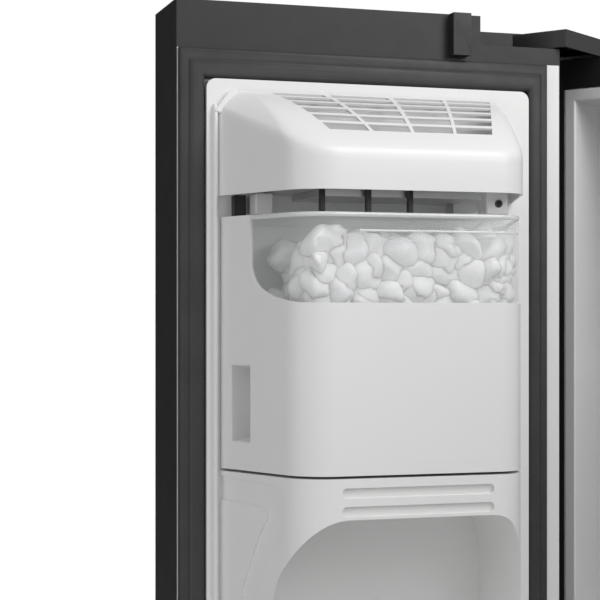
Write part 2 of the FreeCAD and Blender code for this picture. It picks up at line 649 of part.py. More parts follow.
def hinges():
    """Hinge plates with pins above and below each door, and the top covers."""
    upper, lower, covers = [], [], []
    y = "door_back - hinge_back"
    plate_low = "door_bottom - 8"
    for side in (-1, 1):
        x = f"{side} * (case_wide / 2 - hinge_inset)"
        inner = f"{x} - {side} * 50"
        low, high = (x, inner) if side < 0 else (inner, x)
        arm = [rod("z", "hinge_arm", (x, y, "case_top"), "hinge_plate"),
               box((f"{x} - hinge_arm", f"{x} + hinge_arm"), (y, "front + 60"),
                   ("case_top", "case_top + hinge_plate")),
               box((low, high), ("front + 6", "front + 60"),
                   ("case_top", "case_top + hinge_plate"))]
        pin = rod("z", "pin_radius", (x, y, "cap_top_edge + 1"),
                  "case_top + hinge_plate - cap_top_edge - 1")
        upper.append(fuse(*arm, pin))
        plate = [box((f"{x} - 14", f"{x} + 14"), (f"{y} - 14", "front + 8"),
                     (plate_low, f"{plate_low} + hinge_plate")),
                 box((f"{x} - 14", f"{x} + 14"), ("front - 4", "front + 8"),
                     ("case_bottom + 6", f"{plate_low} + hinge_plate")),
                 rod("z", "2 * pin_radius", (x, y, f"{plate_low} + hinge_plate"),
                     "8 - hinge_plate - running_gap"),
                 rod("z", "pin_radius", (x, y, f"{plate_low} + hinge_plate"),
                     "20 - hinge_plate")]
        lower.append(fuse(*plate))
        outside = f"{x} - {side} * hinge_cover_outer"
        inside = f"{x} - {side} * hinge_cover_inner"
        low, high = (outside, inside) if side < 0 else (inside, outside)
        shell = box((low, high), (f"{y} - hinge_cover_front", "front + hinge_cover_back"),
                    ("case_top", "case_top + hinge_cover_high"))
        hollow = box((f"{low} + 2", f"{high} - 2"),
                     (f"{y} - hinge_cover_front + 2", "front + hinge_cover_back - 2"),
                     ("case_top - 1", "case_top + hinge_cover_high - 2"))
        mouth = box((f"{x} - hinge_arm - 1", f"{x} + hinge_arm + 1"), (f"{y} - 12", "front + 62"),
                    ("case_top - 1", "case_top + hinge_plate + 1"))
        covers.append(cut(shell, hollow, mouth))
    sub_part("upper_hinges", upper)
    sub_part("lower_hinges", lower)
    sub_part("hinge_covers", covers)


# ---------------------------------------------------------------- doors
def plan(grow, back, out="ice_out"):
    """The plan shared by ice cover, bin and housing, grown or shrunk by a length."""
    return [
        (f"ice_left + 1.1 * ({grow})", back),
        (f"ice_knee + 1.1 * ({grow})", f"ice_knee_out + 0.4 * ({grow})"),
        (f"ice_corner + 0.9 * ({grow})", f"{out} + ({grow})"),
        (f"ice_right - 0.7 * ({grow})", f"{out} + ({grow})"),
        (f"ice_right_back - 1.1 * ({grow})", back),
    ]


PLAN_RADII = {2: "ice_corner_radius", 3: "ice_side_radius"}


def inner_radii(wall):
    """The plan's corner radii inside a wall of this thickness."""
    return {corner: f"{radius} - {wall}" for corner, radius in PLAN_RADII.items()}


def door_shell(name, wide, place, hinge_left, openings=()):
    """Folded skin, end caps and gasket of one door; returns the hinge-side span."""
    def span(low, high):
        """A width measured from the hinge edge."""
        return (low, high) if hinge_left else (f"{wide} - ({high})", f"{wide} - ({low})")

    outer = box(("0", wide), ("-door_deep", "0"), ("door_bottom", "door_top"))
    hollow = box(("steel", f"{wide} - steel"), ("-door_deep + steel", "1"),
                 ("door_bottom - 1", "door_top + 1"))
    pocket = box(span("-1", "hinge_recess"), ("-hinge_recess_deep", "1"),
                 ("hinge_floor", "door_top + 1"))
    sub_part(f"{name}_skin", [cut(outer, hollow, pocket, *openings)], place)
    top = box(("steel", f"{wide} - steel"), ("-door_deep + steel", "0"),
              ("cap_top_edge", "door_top"))
    peg = box(span("peg_near", "peg_far"), ("-1", "plateau_rise"),
              ("cap_top_edge + 4", "door_top"))
    low = box(("steel", f"{wide} - steel"), ("-door_deep + steel", "0"),
              ("door_bottom", "cap_bottom_edge"))
    x = span("hinge_inset", "hinge_inset")[0]
    bores = [rod("z", "pin_radius + pin_clear", (x, "-hinge_back", "door_bottom - 1"), "13.3"),
             rod("z", "pin_radius + pin_clear", (x, "-hinge_back", "cap_top_edge"),
                 "cap_high + 14")]
    sub_part(f"{name}_caps", [cut(fuse(top, peg), pocket, bores[1]), cut(low, bores[0])], place)
    ring = box(span("gasket_hinge", f"{wide} - gasket_free"), ("0", "gasket_thick"),
               ("gasket_low", "gasket_high"))
    hole = box(span("plateau_hinge - gasket_clear", f"{wide} - plateau_free + gasket_clear"),
               ("-1", "gasket_thick + 1"),
               ("plateau_low - gasket_clear", "plateau_top + gasket_clear"))
    sub_part(f"{name}_gasket", [cut(ring, hole)], place)
    return span


def door_backing(name, wide, place, span, extras, recesses, foam_cuts):
    """Inner liner of one door and the foam that fills it."""
    sheet_back = box(("steel", f"{wide} - steel"), ("-liner_wall", "0"),
                     ("cap_bottom_edge", "cap_top_edge"))
    plateau = box(span("plateau_hinge", f"{wide} - plateau_free"), ("-1", "plateau_rise"),
                  ("plateau_low", "plateau_top"))
    core = box(span("plateau_hinge + liner_wall", f"{wide} - plateau_free - liner_wall"),
               ("-liner_wall - 1", "plateau_rise - liner_wall"),
               ("plateau_low + liner_wall", "plateau_top - liner_wall"))
    outers = [item[0] for item in extras]
    cores = [core] + [item[1] for item in extras]
    filler = fuse(*cores) if extras else core
    carved = [item[0] for item in recesses]
    backed = [item[1] for item in recesses]
    if recesses:
        filler = cut(filler, *backed)
    shell = cut(fuse(sheet_back, plateau, *outers), *carved, filler, *foam_cuts)
    sub_part(f"{name}_liner", [shell], place)
    block = box(("steel", f"{wide} - steel"), ("-door_deep + steel", "-liner_wall"),
                ("cap_bottom_edge", "cap_top_edge"))
    sub_part(f"{name}_foam", [cut(fuse(block, filler), *foam_cuts)], place)


def handle(name, x, place):
    """A bar handle on two posts."""
    bar = box((f"{x} - handle_wide / 2", f"{x} + handle_wide / 2"),
              ("-door_deep - handle_out", "-door_deep - handle_out + handle_deep"),
              ("handle_low", "handle_top"))
    posts = [box((f"{x} - 8", f"{x} + 8"), ("-door_deep - handle_out + handle_deep - 1",
                                            "-door_deep"), (low, f"{low} + 34"))
             for low in ("handle_low + 40", "handle_top - 74")]
    sub_part(name, [fuse(bar, *posts)], place)


def door_bins(name, x_low, x_high, levels, place):
    """Open baskets clipped on the inner door liner."""
    baskets = []
    for level in levels:
        body = box((x_low, x_high), ("plateau_rise", "door_bin_out"),
                   (level, f"{level} + door_bin_high"))
        inside = box((f"{x_low} + door_bin_wall", f"{x_high} - door_bin_wall"),
                     ("plateau_rise + door_bin_wall", "door_bin_out - door_bin_wall"),
                     (f"{level} + door_bin_wall", f"{level} + door_bin_high + 1"))
        baskets.append(cut(body, inside))
    sub_part(name, baskets, place)


CHUTE_SLANT = 45
CHUTE_MIDDLE_OUT = "89 - door_deep"
CHUTE_MIDDLE_RAISE = 48


def chute(wall=0):
    """The slanting passage from the bin's outlet to the dispenser, or its casing."""
    wide, deep = size("chute_wide") + 2 * wall, size("chute_deep") + 2 * wall
    length = size("chute_long")
    tool = Part.makeBox(wide, deep, length, V(-wide / 2, -deep / 2, -length / 2))
    tool.rotate(V(0, 0, 0), V(1, 0, 0), -CHUTE_SLANT)
    feature = doc.addObject("Part::Feature", "Chute")
    feature.Shape = tool
    bind(feature, "Placement.Base.x", "dispenser_middle")
    bind(feature, "Placement.Base.y", CHUTE_MIDDLE_OUT)
    bind(feature, "Placement.Base.z", f"niche_top + {CHUTE_MIDDLE_RAISE}")
    return feature


def recess_arch(grow):
    """The recess under the ice bin, its upper corners rounded, grown by a length."""
    out = (f"arch_deep - {grow}", "ice_out + 1")
    low, top = f"arch_low - {grow}", f"arch_top + {grow}"
    right, left = f"arch_right - {grow}", f"arch_left + {grow}"
    round_right, round_left = f"arch_round_right + {grow}", f"arch_round_left + {grow}"
    parts = [
        box((right, f"{left} - ({round_left})"), out, (low, f"{top} - ({round_right})")),
        box((f"{right} + {round_right}", left), out, (low, f"{top} - ({round_left})")),
        box((f"{right} + {round_right}", f"{left} - ({round_left})"), out, (low, top)),
    ]
    for middle, radius in ((f"{right} + {round_right}", round_right),
                           (f"{left} - ({round_left})", round_left)):
        parts.append(rod("y", radius, (middle, out[0], f"{top} - ({radius})"),
                         f"ice_out + 1 - arch_deep + {grow}"))
    return fuse(*parts)


def freezer_door():
    """Everything that is built into the freezer door and doesn't move on it."""
    wide = "freezer_door_wide"
    bezel = ("dispenser_middle - bezel_wide / 2", "dispenser_middle + bezel_wide / 2")
    niche = ("dispenser_middle - niche_wide / 2", "dispenser_middle + niche_wide / 2")
    window = box((f"{bezel[0]} + 8", f"{bezel[1]} - 8"), ("-door_deep - 1", "-door_deep + 2"),
                 ("bezel_low + 8", "bezel_top - 8"))
    span = door_shell("freezer_door", wide, FREEZER_DOOR, True, [window])
    housing = extrusion(plan("0", "plateau_rise - 1"), "housing_low", "housing_top",
                        radii=PLAN_RADII)
    housing_core = extrusion(plan("-liner_wall", "plateau_rise - 4"),
                             "housing_low + liner_wall", "housing_top - liner_wall",
                             radii=inner_radii("liner_wall"))
    arch = cut(recess_arch("0"), chute(size("liner_wall")))
    arch_back = recess_arch("liner_wall")
    grooves, groove_backs = [], []
    for row in range(2):
        top = f"groove_first - {row} * groove_step"
        grooves.append(box(("groove_left", "groove_right"), ("ice_out - groove_deep",
                                                             "ice_out + 1"),
                           (f"{top}", f"{top} + groove_high")))
        groove_backs.append(box(("groove_left - 2", "groove_right + 2"),
                                ("ice_out - groove_deep - liner_wall", "ice_out + 1"),
                                (f"{top} - 2", f"{top} + groove_high + 2")))
    recesses = [(arch, arch_back), *zip(grooves, groove_backs)]
    runners = [box((f"{x} - 5", f"{x} + 5"), ("40", "ice_out - 20"),
                   ("housing_top - 1", "bin_low - running_gap"))
               for x in ("groove_left - 11", "groove_right + 11")]
    pit = box((f"{bezel[0]} + bezel_border", f"{bezel[1]} - bezel_border"),
              ("-door_deep", "-door_deep + niche_deep"),
              ("bezel_low + bezel_border", "bezel_top - bezel_border"))
    door_backing("freezer_door", wide, FREEZER_DOOR, span,
                 [(fuse(housing, *runners), housing_core)], recesses,
                 [pit, chute()])
    plate = box(bezel, ("-door_deep - bezel_proud", "-door_deep"), ("bezel_low", "bezel_top"))
    block = box((f"{bezel[0]} + bezel_border", f"{bezel[1]} - bezel_border"),
                ("-door_deep - 1", "-door_deep + niche_deep"),
                ("bezel_low + bezel_border", "bezel_top - bezel_border"))
    hollow = box(niche, ("-door_deep - bezel_proud - 1", "-door_deep + niche_deep - 2"),
                 ("niche_low", "niche_top"))
    mouth = box(("dispenser_middle - chute_wide / 2 - 2", "dispenser_middle + chute_wide / 2 + 2"),
                ("22 - door_deep", "niche_deep - door_deep - 3"),
                ("niche_top - 1", "niche_top + 46"))
    seat = box((f"{niche[0]}", f"{niche[1]}"), ("-door_deep - bezel_proud - 1", "-door_deep"),
               ("panel_low", "panel_top"))
    lugs = [box((f"dispenser_middle + {low}", f"dispenser_middle + {low} + 3.6"),
                ("-paddle_out - 6.5", "-paddle_out + 6.5"),
                ("axle_height - 6", "niche_top + 1"))
            for low in ("-paddle_wide / 2 - 4", "paddle_wide / 2 + 0.4")]
    axle = rod("x", "axle_radius + bearing_clear",
               ("dispenser_middle - paddle_wide / 2 - 6", "-paddle_out", "axle_height"),
               "paddle_wide + 12")
    sub_part("dispenser_housing", [cut(fuse(cut(fuse(plate, block), hollow, mouth, seat,
                                                chute()), *lugs), axle)], FREEZER_DOOR)
    sub_part("dispenser_panel", [box(niche, ("-door_deep - bezel_proud - 0.5", "-door_deep"),
                                     ("panel_low", "panel_top"))], FREEZER_DOOR)
    tray = box((f"{niche[0]} + 1", f"{niche[1]} - 1"),
               ("-door_deep + 1", "-door_deep + niche_deep - 4"),
               ("niche_low", "niche_low + tray_high"))
    slots = [box((f"{niche[0]} + 14 + {step} * 16", f"{niche[0]} + 22 + {step} * 16"),
                 ("-door_deep + 12", "-door_deep + niche_deep - 16"),
                 ("niche_low + 3", "niche_low + tray_high + 1")) for step in range(10)]
    sub_part("drip_tray", [cut(tray, group(slots))], FREEZER_DOOR)
    handle("freezer_door_handle", f"{wide} - handle_inset", FREEZER_DOOR)
    door_bins("freezer_door_bins", "door_bin_hinge", "ice_knee",
              [f"(freezer_bin_first + {row} * freezer_bin_step)" for row in range(3)],
              FREEZER_DOOR)


def dispenser_moves():
    """The paddle and the duct flap that it opens."""
    wide = ("dispenser_middle - paddle_wide / 2", "dispenser_middle + paddle_wide / 2")
    paddle = box(wide, ("-paddle_out - 2.5", "-paddle_out + 2.5"),
                 ("axle_height - paddle_high", "axle_height - 4"))
    hub = rod("x", "axle_radius", (f"{wide[0]} - 3.5", "-paddle_out", "axle_height"),
              "paddle_wide + 7")
    neck = box(wide, ("-paddle_out - 1.5", "-paddle_out + 1.5"),
               ("axle_height - 6", "axle_height"))
    sub_part("dispenser_paddle", [fuse(paddle, hub, neck)], FREEZER_DOOR)
    flap = box(("dispenser_middle - chute_wide / 2 + 2", "dispenser_middle + chute_wide / 2 - 2"),
               ("27 - door_deep", "niche_deep - door_deep - 6"), ("niche_top + 1", "niche_top + 4"))
    pivot = rod("x", "2.5", ("dispenser_middle - chute_wide / 2 - 1", "26 - door_deep",
                             "niche_top + 4"), "chute_wide + 2")
    sub_part("duct_flap", [fuse(flap, pivot)], FREEZER_DOOR)


def ice_cover():
    """The moulded hood over the ice maker with fanned air slots in its top."""
    outer_plan = extrusion(plan("0", "plateau_rise"), "cover_low", "cover_back_top",
                           radii=PLAN_RADII)
    inner_plan = extrusion(plan("-ice_wall", "plateau_rise - 1"), "cover_low - 1",
                           "cover_back_top", radii=inner_radii("ice_wall"))
    outer_side = extrusion([("plateau_rise - 1", "cover_low - 1"),
                            ("ice_out + 1", "cover_low - 1"), ("ice_out + 1", "cover_crease"),
                            ("cover_mid_out", "cover_mid_top"),
                            ("plateau_rise - 1", "cover_back_top")],
                           "0", "freezer_door_wide", "YZ_Plane")
    inner_side = extrusion([("plateau_rise - 2", "cover_low - 2"),
                            ("ice_out + 2", "cover_low - 2"),
                            ("ice_out + 2", "cover_crease - ice_wall"),
                            ("cover_mid_out", "cover_mid_top - ice_wall"),
                            ("plateau_rise - 2", "cover_back_top - ice_wall")],
                           "0", "freezer_door_wide", "YZ_Plane")
    slots = []
    for row in range(6):
        near = f"30 + {row} * (ice_out - 40) / 6"
        for column in range(4):
            start = f"ice_right + 8 + {column} * (ice_corner - ice_right - 14) / 4"
            slots.append(box((start, f"{start} + (ice_corner - ice_right - 14) / 4 - 5"),
                             (near, f"{near} + (ice_out - 40) / 6 - 7"),
                             ("cover_crease - 12", "cover_back_top + 1")))
    lid = cut(common(outer_plan, outer_side), common(inner_plan, inner_side), group(slots))
    sub_part("ice_maker_cover", [lid], FREEZER_DOOR)


MOULD_LEFT, MOULD_RIGHT = "130", "290"
RAKE_FINGERS = 7
AUGER_DISCS = 12


def ice_maker():
    """Mould with a round trough, motor box and the turning rake of fingers."""
    middle = ("auger_out", "mould_height")
    tray = box((MOULD_LEFT, MOULD_RIGHT), ("plateau_rise", "auger_out + ejector_radius + 6"),
               ("cover_low - 4", "mould_height - 2"))
    trough = rod("x", "ejector_radius + 2", (f"{MOULD_LEFT} + 4", *middle), "152")
    motor = box((f"{MOULD_RIGHT} + 1", f"{MOULD_RIGHT} + 28"),
                ("plateau_rise", "auger_out + ejector_radius + 4"),
                ("cover_low + 2", "cover_crease"))
    link = box((f"{MOULD_RIGHT} - 2", f"{MOULD_RIGHT} + 3"), ("plateau_rise", "30"),
               ("cover_low + 2", "mould_height - 2"))
    bearing = rod("x", "ejector_shaft + 0.5", (f"{MOULD_LEFT} - 4", *middle), "170")
    bracket = box((f"{MOULD_LEFT} - 26", MOULD_LEFT), ("plateau_rise", "30"),
                  ("cover_low - 14", "cover_low + 20"))
    sub_part("ice_maker", [cut(fuse(tray, link, motor, bracket), trough, bearing)],
             FREEZER_DOOR)
    shaft = rod("x", "ejector_shaft", (f"{MOULD_LEFT} - 1", *middle), "162.5")
    fingers = [box((f"{MOULD_LEFT} + 16.5 + {20 * step}", f"{MOULD_LEFT} + 19.5 + {20 * step}"),
                   ("auger_out - 3", "auger_out + 3"),
                   ("mould_height", "mould_height + ejector_radius"))
               for step in range(RAKE_FINGERS)]
    sub_part("ice_ejector", [fuse(shaft, *fingers)], FREEZER_DOOR)


def ice_bin():
    """Pull-out bin, its clear window, the feed auger and the ice in it."""
    bin_back = "plateau_rise + bin_back_gap"
    outer = extrusion(plan("0", bin_back), "bin_low", "bin_top", radii=PLAN_RADII)
    inner = extrusion(plan("-ice_wall", f"{bin_back} + ice_wall"),
                      "bin_low + ice_wall", "bin_top + 1",
                      radii={2: "ice_corner_radius - ice_wall", 3: "ice_side_radius - ice_wall"})
    window = box(("ice_right + 12", "ice_left + 1"), ("window_start_out", "ice_out + 1"),
                 ("window_low", "bin_top - window_drop"))
    outlet = box(("dispenser_middle - 34", "dispenser_middle + 34"), ("22", "auger_out - 6"),
                 ("bin_low - 1", "bin_low + ice_wall + 1"))
    finger_cut = box(("ice_left - 18", "ice_left - 6"), ("48", "78"),
                     ("bin_low + 25.5", "bin_low + 98.5"))
    tub = cut(outer, inner, window, outlet, finger_cut)
    posts = [box((start, f"{start} + 4"), ("auger_out - 12", "auger_out + 12"),
                 ("bin_low + 1", "auger_height + 12"))
             for start in ("ice_right + 1", "ice_corner")]
    bearing = rod("x", "auger_shaft + bearing_clear",
                  ("ice_right - 3", "auger_out", "auger_height"), "ice_corner - ice_right + 11")
    sub_part("ice_bin", [cut(fuse(tub, *posts), bearing)], FREEZER_DOOR)
    pane_outer = extrusion(plan("0", bin_back), "window_low", "bin_top - window_drop",
                           radii=PLAN_RADII)
    sub_part("ice_bin_window", [cut(common(pane_outer, window), inner)], FREEZER_DOOR)
    start = ("ice_right + 1", "auger_out", "auger_height")
    shaft = rod("x", "auger_shaft", start, "ice_corner - ice_right + 3")
    flights = [rod("x", "auger_radius", (f"ice_right + 19 + {step} * 16", start[1], start[2]),
                   "3") for step in range(AUGER_DISCS)]
    sub_part("ice_auger", [fuse(shaft, *flights)], FREEZER_DOOR)
    heap = []
    deep = "(ice_out - 34) / 2"
    for step in range(6):
        for row in range(2):
            near, out = f"ice_right + 35 + {step} * cube_wide", f"18 + {row} * {deep}"
            heap.append(box((near, f"{near} + cube_wide"), (out, f"{out} + {deep}"),
                            ("auger_height + auger_radius + 0.5",
                             f"bin_top - {24 + 9 * ((step + row) % 3)}")))
    sub_part("ice_cubes", heap, FREEZER_DOOR)


def fridge_door():
    """The plain food-side door."""
    wide = "fridge_door_wide"
    span = door_shell("fridge_door", wide, FRIDGE_DOOR, False)
    door_backing("fridge_door", wide, FRIDGE_DOOR, span, [], [], [])
    handle("fridge_door_handle", "handle_inset", FRIDGE_DOOR)
    door_bins("fridge_door_bins", "door_bin_hinge - 20", f"{wide} - door_bin_hinge",
              [f"(freezer_bin_first + {row} * fridge_bin_step)" for row in range(6)],
              FRIDGE_DOOR)


# ---------------------------------------------------------------- check and write
def check_document():
    """Stop on any failed feature or empty, invalid sub-part."""
    doc.recompute()
    for thing in doc.Objects:
        if "Invalid" in thing.State or "Error" in thing.State:
            raise RuntimeError(f"{thing.Name} ({thing.Label}) failed: {thing.State}")
    for part in SUB_PARTS:
        if part.Shape.isNull() or not part.Shape.isValid() or not part.Shape.Solids:
            raise RuntimeError(f"{part.Label} has no valid shape")


def write_parts():
    """One STEP file for each sub-part."""
    os.makedirs("parts", exist_ok=True)
    for part in SUB_PARTS:
        part.Shape.exportStep(f"parts/{part.Label}.step")
    print(len(SUB_PARTS), "sub-parts written")


for build in (cabinet_shell, base_frame, feet_and_rollers, compartments, shelves, drawers,
              cold_side, warm_side, hinges, freezer_door, dispenser_moves, ice_cover,
              ice_maker, ice_bin, fridge_door):
    build()
check_document()
write_parts()
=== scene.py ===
"""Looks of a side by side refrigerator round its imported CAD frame.

The pieces made here are drawn in the freezer door's own frame in millimetres: u runs
from the hinge edge, n from the door's inner plane towards the cabinet, z up from the floor.
"""
import json
import math
import random

import bmesh
import bpy
from mathutils import Matrix, Vector, noise


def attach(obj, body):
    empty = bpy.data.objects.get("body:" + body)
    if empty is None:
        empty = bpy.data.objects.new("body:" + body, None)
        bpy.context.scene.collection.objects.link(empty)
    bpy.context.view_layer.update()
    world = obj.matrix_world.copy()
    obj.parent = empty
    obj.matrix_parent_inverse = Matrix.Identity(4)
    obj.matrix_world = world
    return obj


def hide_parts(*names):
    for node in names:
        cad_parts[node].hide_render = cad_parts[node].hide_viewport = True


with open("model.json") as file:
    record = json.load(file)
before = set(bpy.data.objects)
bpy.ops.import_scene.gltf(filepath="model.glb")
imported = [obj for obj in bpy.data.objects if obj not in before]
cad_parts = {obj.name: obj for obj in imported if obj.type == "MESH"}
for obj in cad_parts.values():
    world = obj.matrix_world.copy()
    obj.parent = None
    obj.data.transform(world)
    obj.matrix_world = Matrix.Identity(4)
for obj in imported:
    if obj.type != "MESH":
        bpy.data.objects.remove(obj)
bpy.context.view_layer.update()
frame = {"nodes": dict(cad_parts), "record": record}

MM = 0.001
NODES = frame["nodes"]
JOINTS = {joint["name"]: joint for joint in frame["record"]["behaviour"]["joints"]}


# ------------------------------------------------------------------ door frame
PIN_FROM_EDGE = 17.5
PIN_FROM_BACK = 46.0


def door_matrix(joint_name, pin_across):
    """Door frame in millimetres to the world in metres, at the rest pose."""
    joint = JOINTS[joint_name]
    turn = math.radians(-joint["range_deg"][0]) * joint["axis"][2]
    pin = Vector((joint["pos_m"][0], joint["pos_m"][1], 0))
    to_pin = Matrix.Translation((-pin_across * MM, PIN_FROM_BACK * MM, 0))
    return Matrix.Translation(pin) @ Matrix.Rotation(turn, 4, "Z") @ to_pin @ Matrix.Scale(MM, 4)


FREEZER = door_matrix("freezer_door_swing", PIN_FROM_EDGE)


# ------------------------------------------------------------------ materials
class Shader:
    """A Principled material with helpers for its procedural detail."""

    def __init__(self, name, roughness=0.5, metallic=0.0, **sockets):
        self.material = bpy.data.materials.new(name)
        self.material.use_nodes = True
        self.tree = self.material.node_tree
        self.surface = self.tree.nodes["Principled BSDF"]
        self.surface.inputs["Roughness"].default_value = roughness
        self.surface.inputs["Metallic"].default_value = metallic
        for socket, value in sockets.items():
            self.surface.inputs[socket.replace("_", " ")].default_value = value
        self.place = self.tree.nodes.new("ShaderNodeTexCoord").outputs["Object"]
        self.height = None

    def node(self, kind, **values):
        """A node with its input values set by name."""
        node = self.tree.nodes.new(kind)
        for socket, value in values.items():
            node.inputs[socket].default_value = value
        return node

    def link(self, source, target):
        """Join an output to an input."""
        self.tree.links.new(source, target)

    def noise(self, scale, detail=4.0, stretch=(1, 1, 1), roughness=0.55):
        """Noise in object space, scale per metre."""
        mapping = self.node("ShaderNodeMapping", Scale=stretch)
        self.link(self.place, mapping.inputs["Vector"])
        texture = self.node("ShaderNodeTexNoise", Scale=scale, Detail=detail, Roughness=roughness)
        self.link(mapping.outputs["Vector"], texture.inputs["Vector"])
        return texture.outputs["Fac"]

    def ramp(self, factor, stops):
        """Colours along a factor."""
        ramp = self.node("ShaderNodeValToRGB")
        while len(ramp.color_ramp.elements) < len(stops):
            ramp.color_ramp.elements.new(0.5)
        for element, (spot, colour) in zip(ramp.color_ramp.elements, stops):
            element.position = spot
            element.color = (*colour, 1) if isinstance(colour, tuple) else (colour,) * 3 + (1,)
        self.link(factor, ramp.inputs["Fac"])
        return ramp.outputs["Color"]

    def colour(self, factor, low, high):
        """Base colour between two tones."""
        self.link(self.ramp(factor, [(0.3, low), (0.7, high)]), self.surface.inputs["Base Color"])

    def gloss(self, factor, low, high):
        """Roughness between two values."""
        spread = self.node("ShaderNodeMapRange")
        spread.inputs["To Min"].default_value = low
        spread.inputs["To Max"].default_value = high
        self.link(factor, spread.inputs["Value"])
        self.link(spread.outputs["Result"], self.surface.inputs["Roughness"])

    def bump(self, factor, strength, depth):
        """Fine relief of a given depth in metres, on top of any relief before it."""
        bump = self.node("ShaderNodeBump", Strength=strength, Distance=depth)
        self.link(factor, bump.inputs["Height"])
        if self.height:
            self.link(self.height, bump.inputs["Normal"])
        self.height = bump.outputs["Normal"]
        self.link(self.height, self.surface.inputs["Normal"])


def textured_paint(name, dark, light, roughness):
    """Coated steel with the fine orange peel of a textured enamel."""
    shader = Shader(name, roughness)
    shader.colour(shader.noise(6), dark, light)
    shader.gloss(shader.noise(30), roughness - 0.05, roughness + 0.07)
    shader.bump(shader.noise(900, 2), 0.25, 0.0004)
    return shader.material


def moulded(name, dark, light, roughness, grain=1400, depth=0.00008):
    """Injection moulded plastic with faint tone drift and a fine spark grain."""
    shader = Shader(name, roughness)
    shader.colour(shader.noise(9), dark, light)
    shader.gloss(shader.noise(60), roughness - 0.06, roughness + 0.06)
    shader.bump(shader.noise(grain, 2), 0.3, depth)
    shader.bump(shader.noise(14, 2), 0.08, 0.0012)
    return shader.material


def white_plastic(name, tone, roughness):
    """Glossy white styrene, very slightly wavy from forming."""
    shader = Shader(name, roughness)
    shader.surface.inputs["Subsurface Weight"].default_value = 0.06
    shader.surface.inputs["Subsurface Radius"].default_value = (0.01, 0.01, 0.01)
    shader.colour(shader.noise(5), tuple(c * 0.97 for c in tone), tone)
    shader.gloss(shader.noise(25), roughness - 0.05, roughness + 0.08)
    shader.bump(shader.noise(18, 2), 0.06, 0.0014)
    shader.bump(shader.noise(1600, 2), 0.1, 0.00004)
    return shader.material


def clear_plastic(name, tone, alpha, roughness):
    """Clear moulded plastic, a little cloudy."""
    shader = Shader(name, roughness)
    shader.surface.inputs["Alpha"].default_value = alpha
    shader.colour(shader.noise(12), tuple(c * 0.9 for c in tone), tone)
    shader.gloss(shader.noise(40), roughness, roughness + 0.08)
    shader.bump(shader.noise(30, 2), 0.08, 0.0008)
    return shader.material


def frosty_ice(name):
    """Cloudy ice with white cores and clear rims."""
    shader = Shader(name, 0.2)
    shader.surface.inputs["Subsurface Weight"].default_value = 0.9
    shader.surface.inputs["Subsurface Radius"].default_value = (0.03, 0.032, 0.034)
    shader.surface.inputs["IOR"].default_value = 1.31
    shader.colour(shader.noise(70), (0.9, 0.91, 0.915), (0.99, 0.99, 0.99))
    shader.gloss(shader.noise(140), 0.1, 0.35)
    shader.bump(shader.noise(220, 3), 0.35, 0.0012)
    return shader.material


def metal(name, tone, roughness, stretch=(1, 1, 1), grain=400):
    """Bare metal with a direction in its grain."""
    shader = Shader(name, roughness, 1.0)
    shader.colour(shader.noise(8), tuple(c * 0.88 for c in tone), tone)
    shader.gloss(shader.noise(grain, 3, stretch), roughness - 0.08, roughness + 0.12)
    shader.bump(shader.noise(grain, 2, stretch), 0.12, 0.0002)
    return shader.material


def soft_rubber(name, dark, light):
    """Flexible vinyl with a dull, slightly dusty skin."""
    shader = Shader(name, 0.55)
    shader.colour(shader.noise(22), dark, light)
    shader.gloss(shader.noise(80), 0.45, 0.65)
    shader.bump(shader.noise(700, 2), 0.2, 0.0002)
    return shader.material


def foamed(name):
    """Rigid polyurethane foam with open cells at its skin."""
    shader = Shader(name, 0.9)
    shader.colour(shader.noise(40), (0.72, 0.66, 0.47), (0.85, 0.8, 0.6))
    shader.bump(shader.noise(500, 3), 0.6, 0.0012)
    return shader.material


MATERIALS = {
    "case_paint": textured_paint("case_paint", (0.008, 0.008, 0.0085), (0.012, 0.012, 0.0125),
                                 0.5),
    "door_steel": textured_paint("door_steel", (0.004, 0.004, 0.0042), (0.006, 0.006, 0.0063),
                                 0.42),
    "bare_steel": metal("bare_steel", (0.62, 0.63, 0.64), 0.42),
    "plated": metal("plated", (0.66, 0.66, 0.68), 0.3),
    "white_liner": white_plastic("white_liner", (0.84, 0.84, 0.835), 0.36),
    "ice_cover_white": white_plastic("ice_cover_white", (0.83, 0.83, 0.83), 0.34),
    "grey_cap": moulded("grey_cap", (0.014, 0.014, 0.015), (0.02, 0.02, 0.021), 0.5),
    "black_plastic": moulded("black_plastic", (0.012, 0.012, 0.013), (0.02, 0.02, 0.021), 0.42),
    "gasket_grey": soft_rubber("gasket_grey", (0.028, 0.028, 0.028), (0.04, 0.04, 0.04)),
    "foam": foamed("foam"),
    "clear": clear_plastic("clear", (0.9, 0.93, 0.94), 0.24, 0.08),
    "ice": frosty_ice("ice"),
    "aluminium": metal("aluminium", (0.72, 0.72, 0.73), 0.35),
    "tyre": soft_rubber("tyre", (0.02, 0.02, 0.02), (0.04, 0.04, 0.04)),
    "screen": moulded("screen", (0.006, 0.006, 0.007), (0.01, 0.01, 0.011), 0.12, 300, 0.00002),
    "trim": metal("trim", (0.72, 0.72, 0.73), 0.24, (1, 1, 0.02), 900),
    "board": moulded("board", (0.52, 0.52, 0.52), (0.6, 0.6, 0.6), 0.45),
    "window": clear_plastic("window", (0.93, 0.95, 0.96), 0.16, 0.04),
    # rim_clear: clear plastic made more opaque and whiter than the pane, a painted highlight line
    # along the bin's top rim and rib
    "rim_clear": clear_plastic("rim_clear", (0.95, 0.96, 0.97), 0.62, 0.08),
}


# ------------------------------------------------------------------ mesh helpers
SAME_SPOT = 0.00001


def add_bevel(thing, width, segments=3, angle=30):
    """Rounded edges wherever two faces meet more sharply than the angle."""
    bevel = thing.modifiers.new("edges", "BEVEL")
    bevel.width = width * MM
    bevel.segments = segments
    bevel.limit_method = "ANGLE"
    bevel.angle_limit = math.radians(angle)
    bevel.harden_normals = True
    bevel.use_clamp_overlap = True


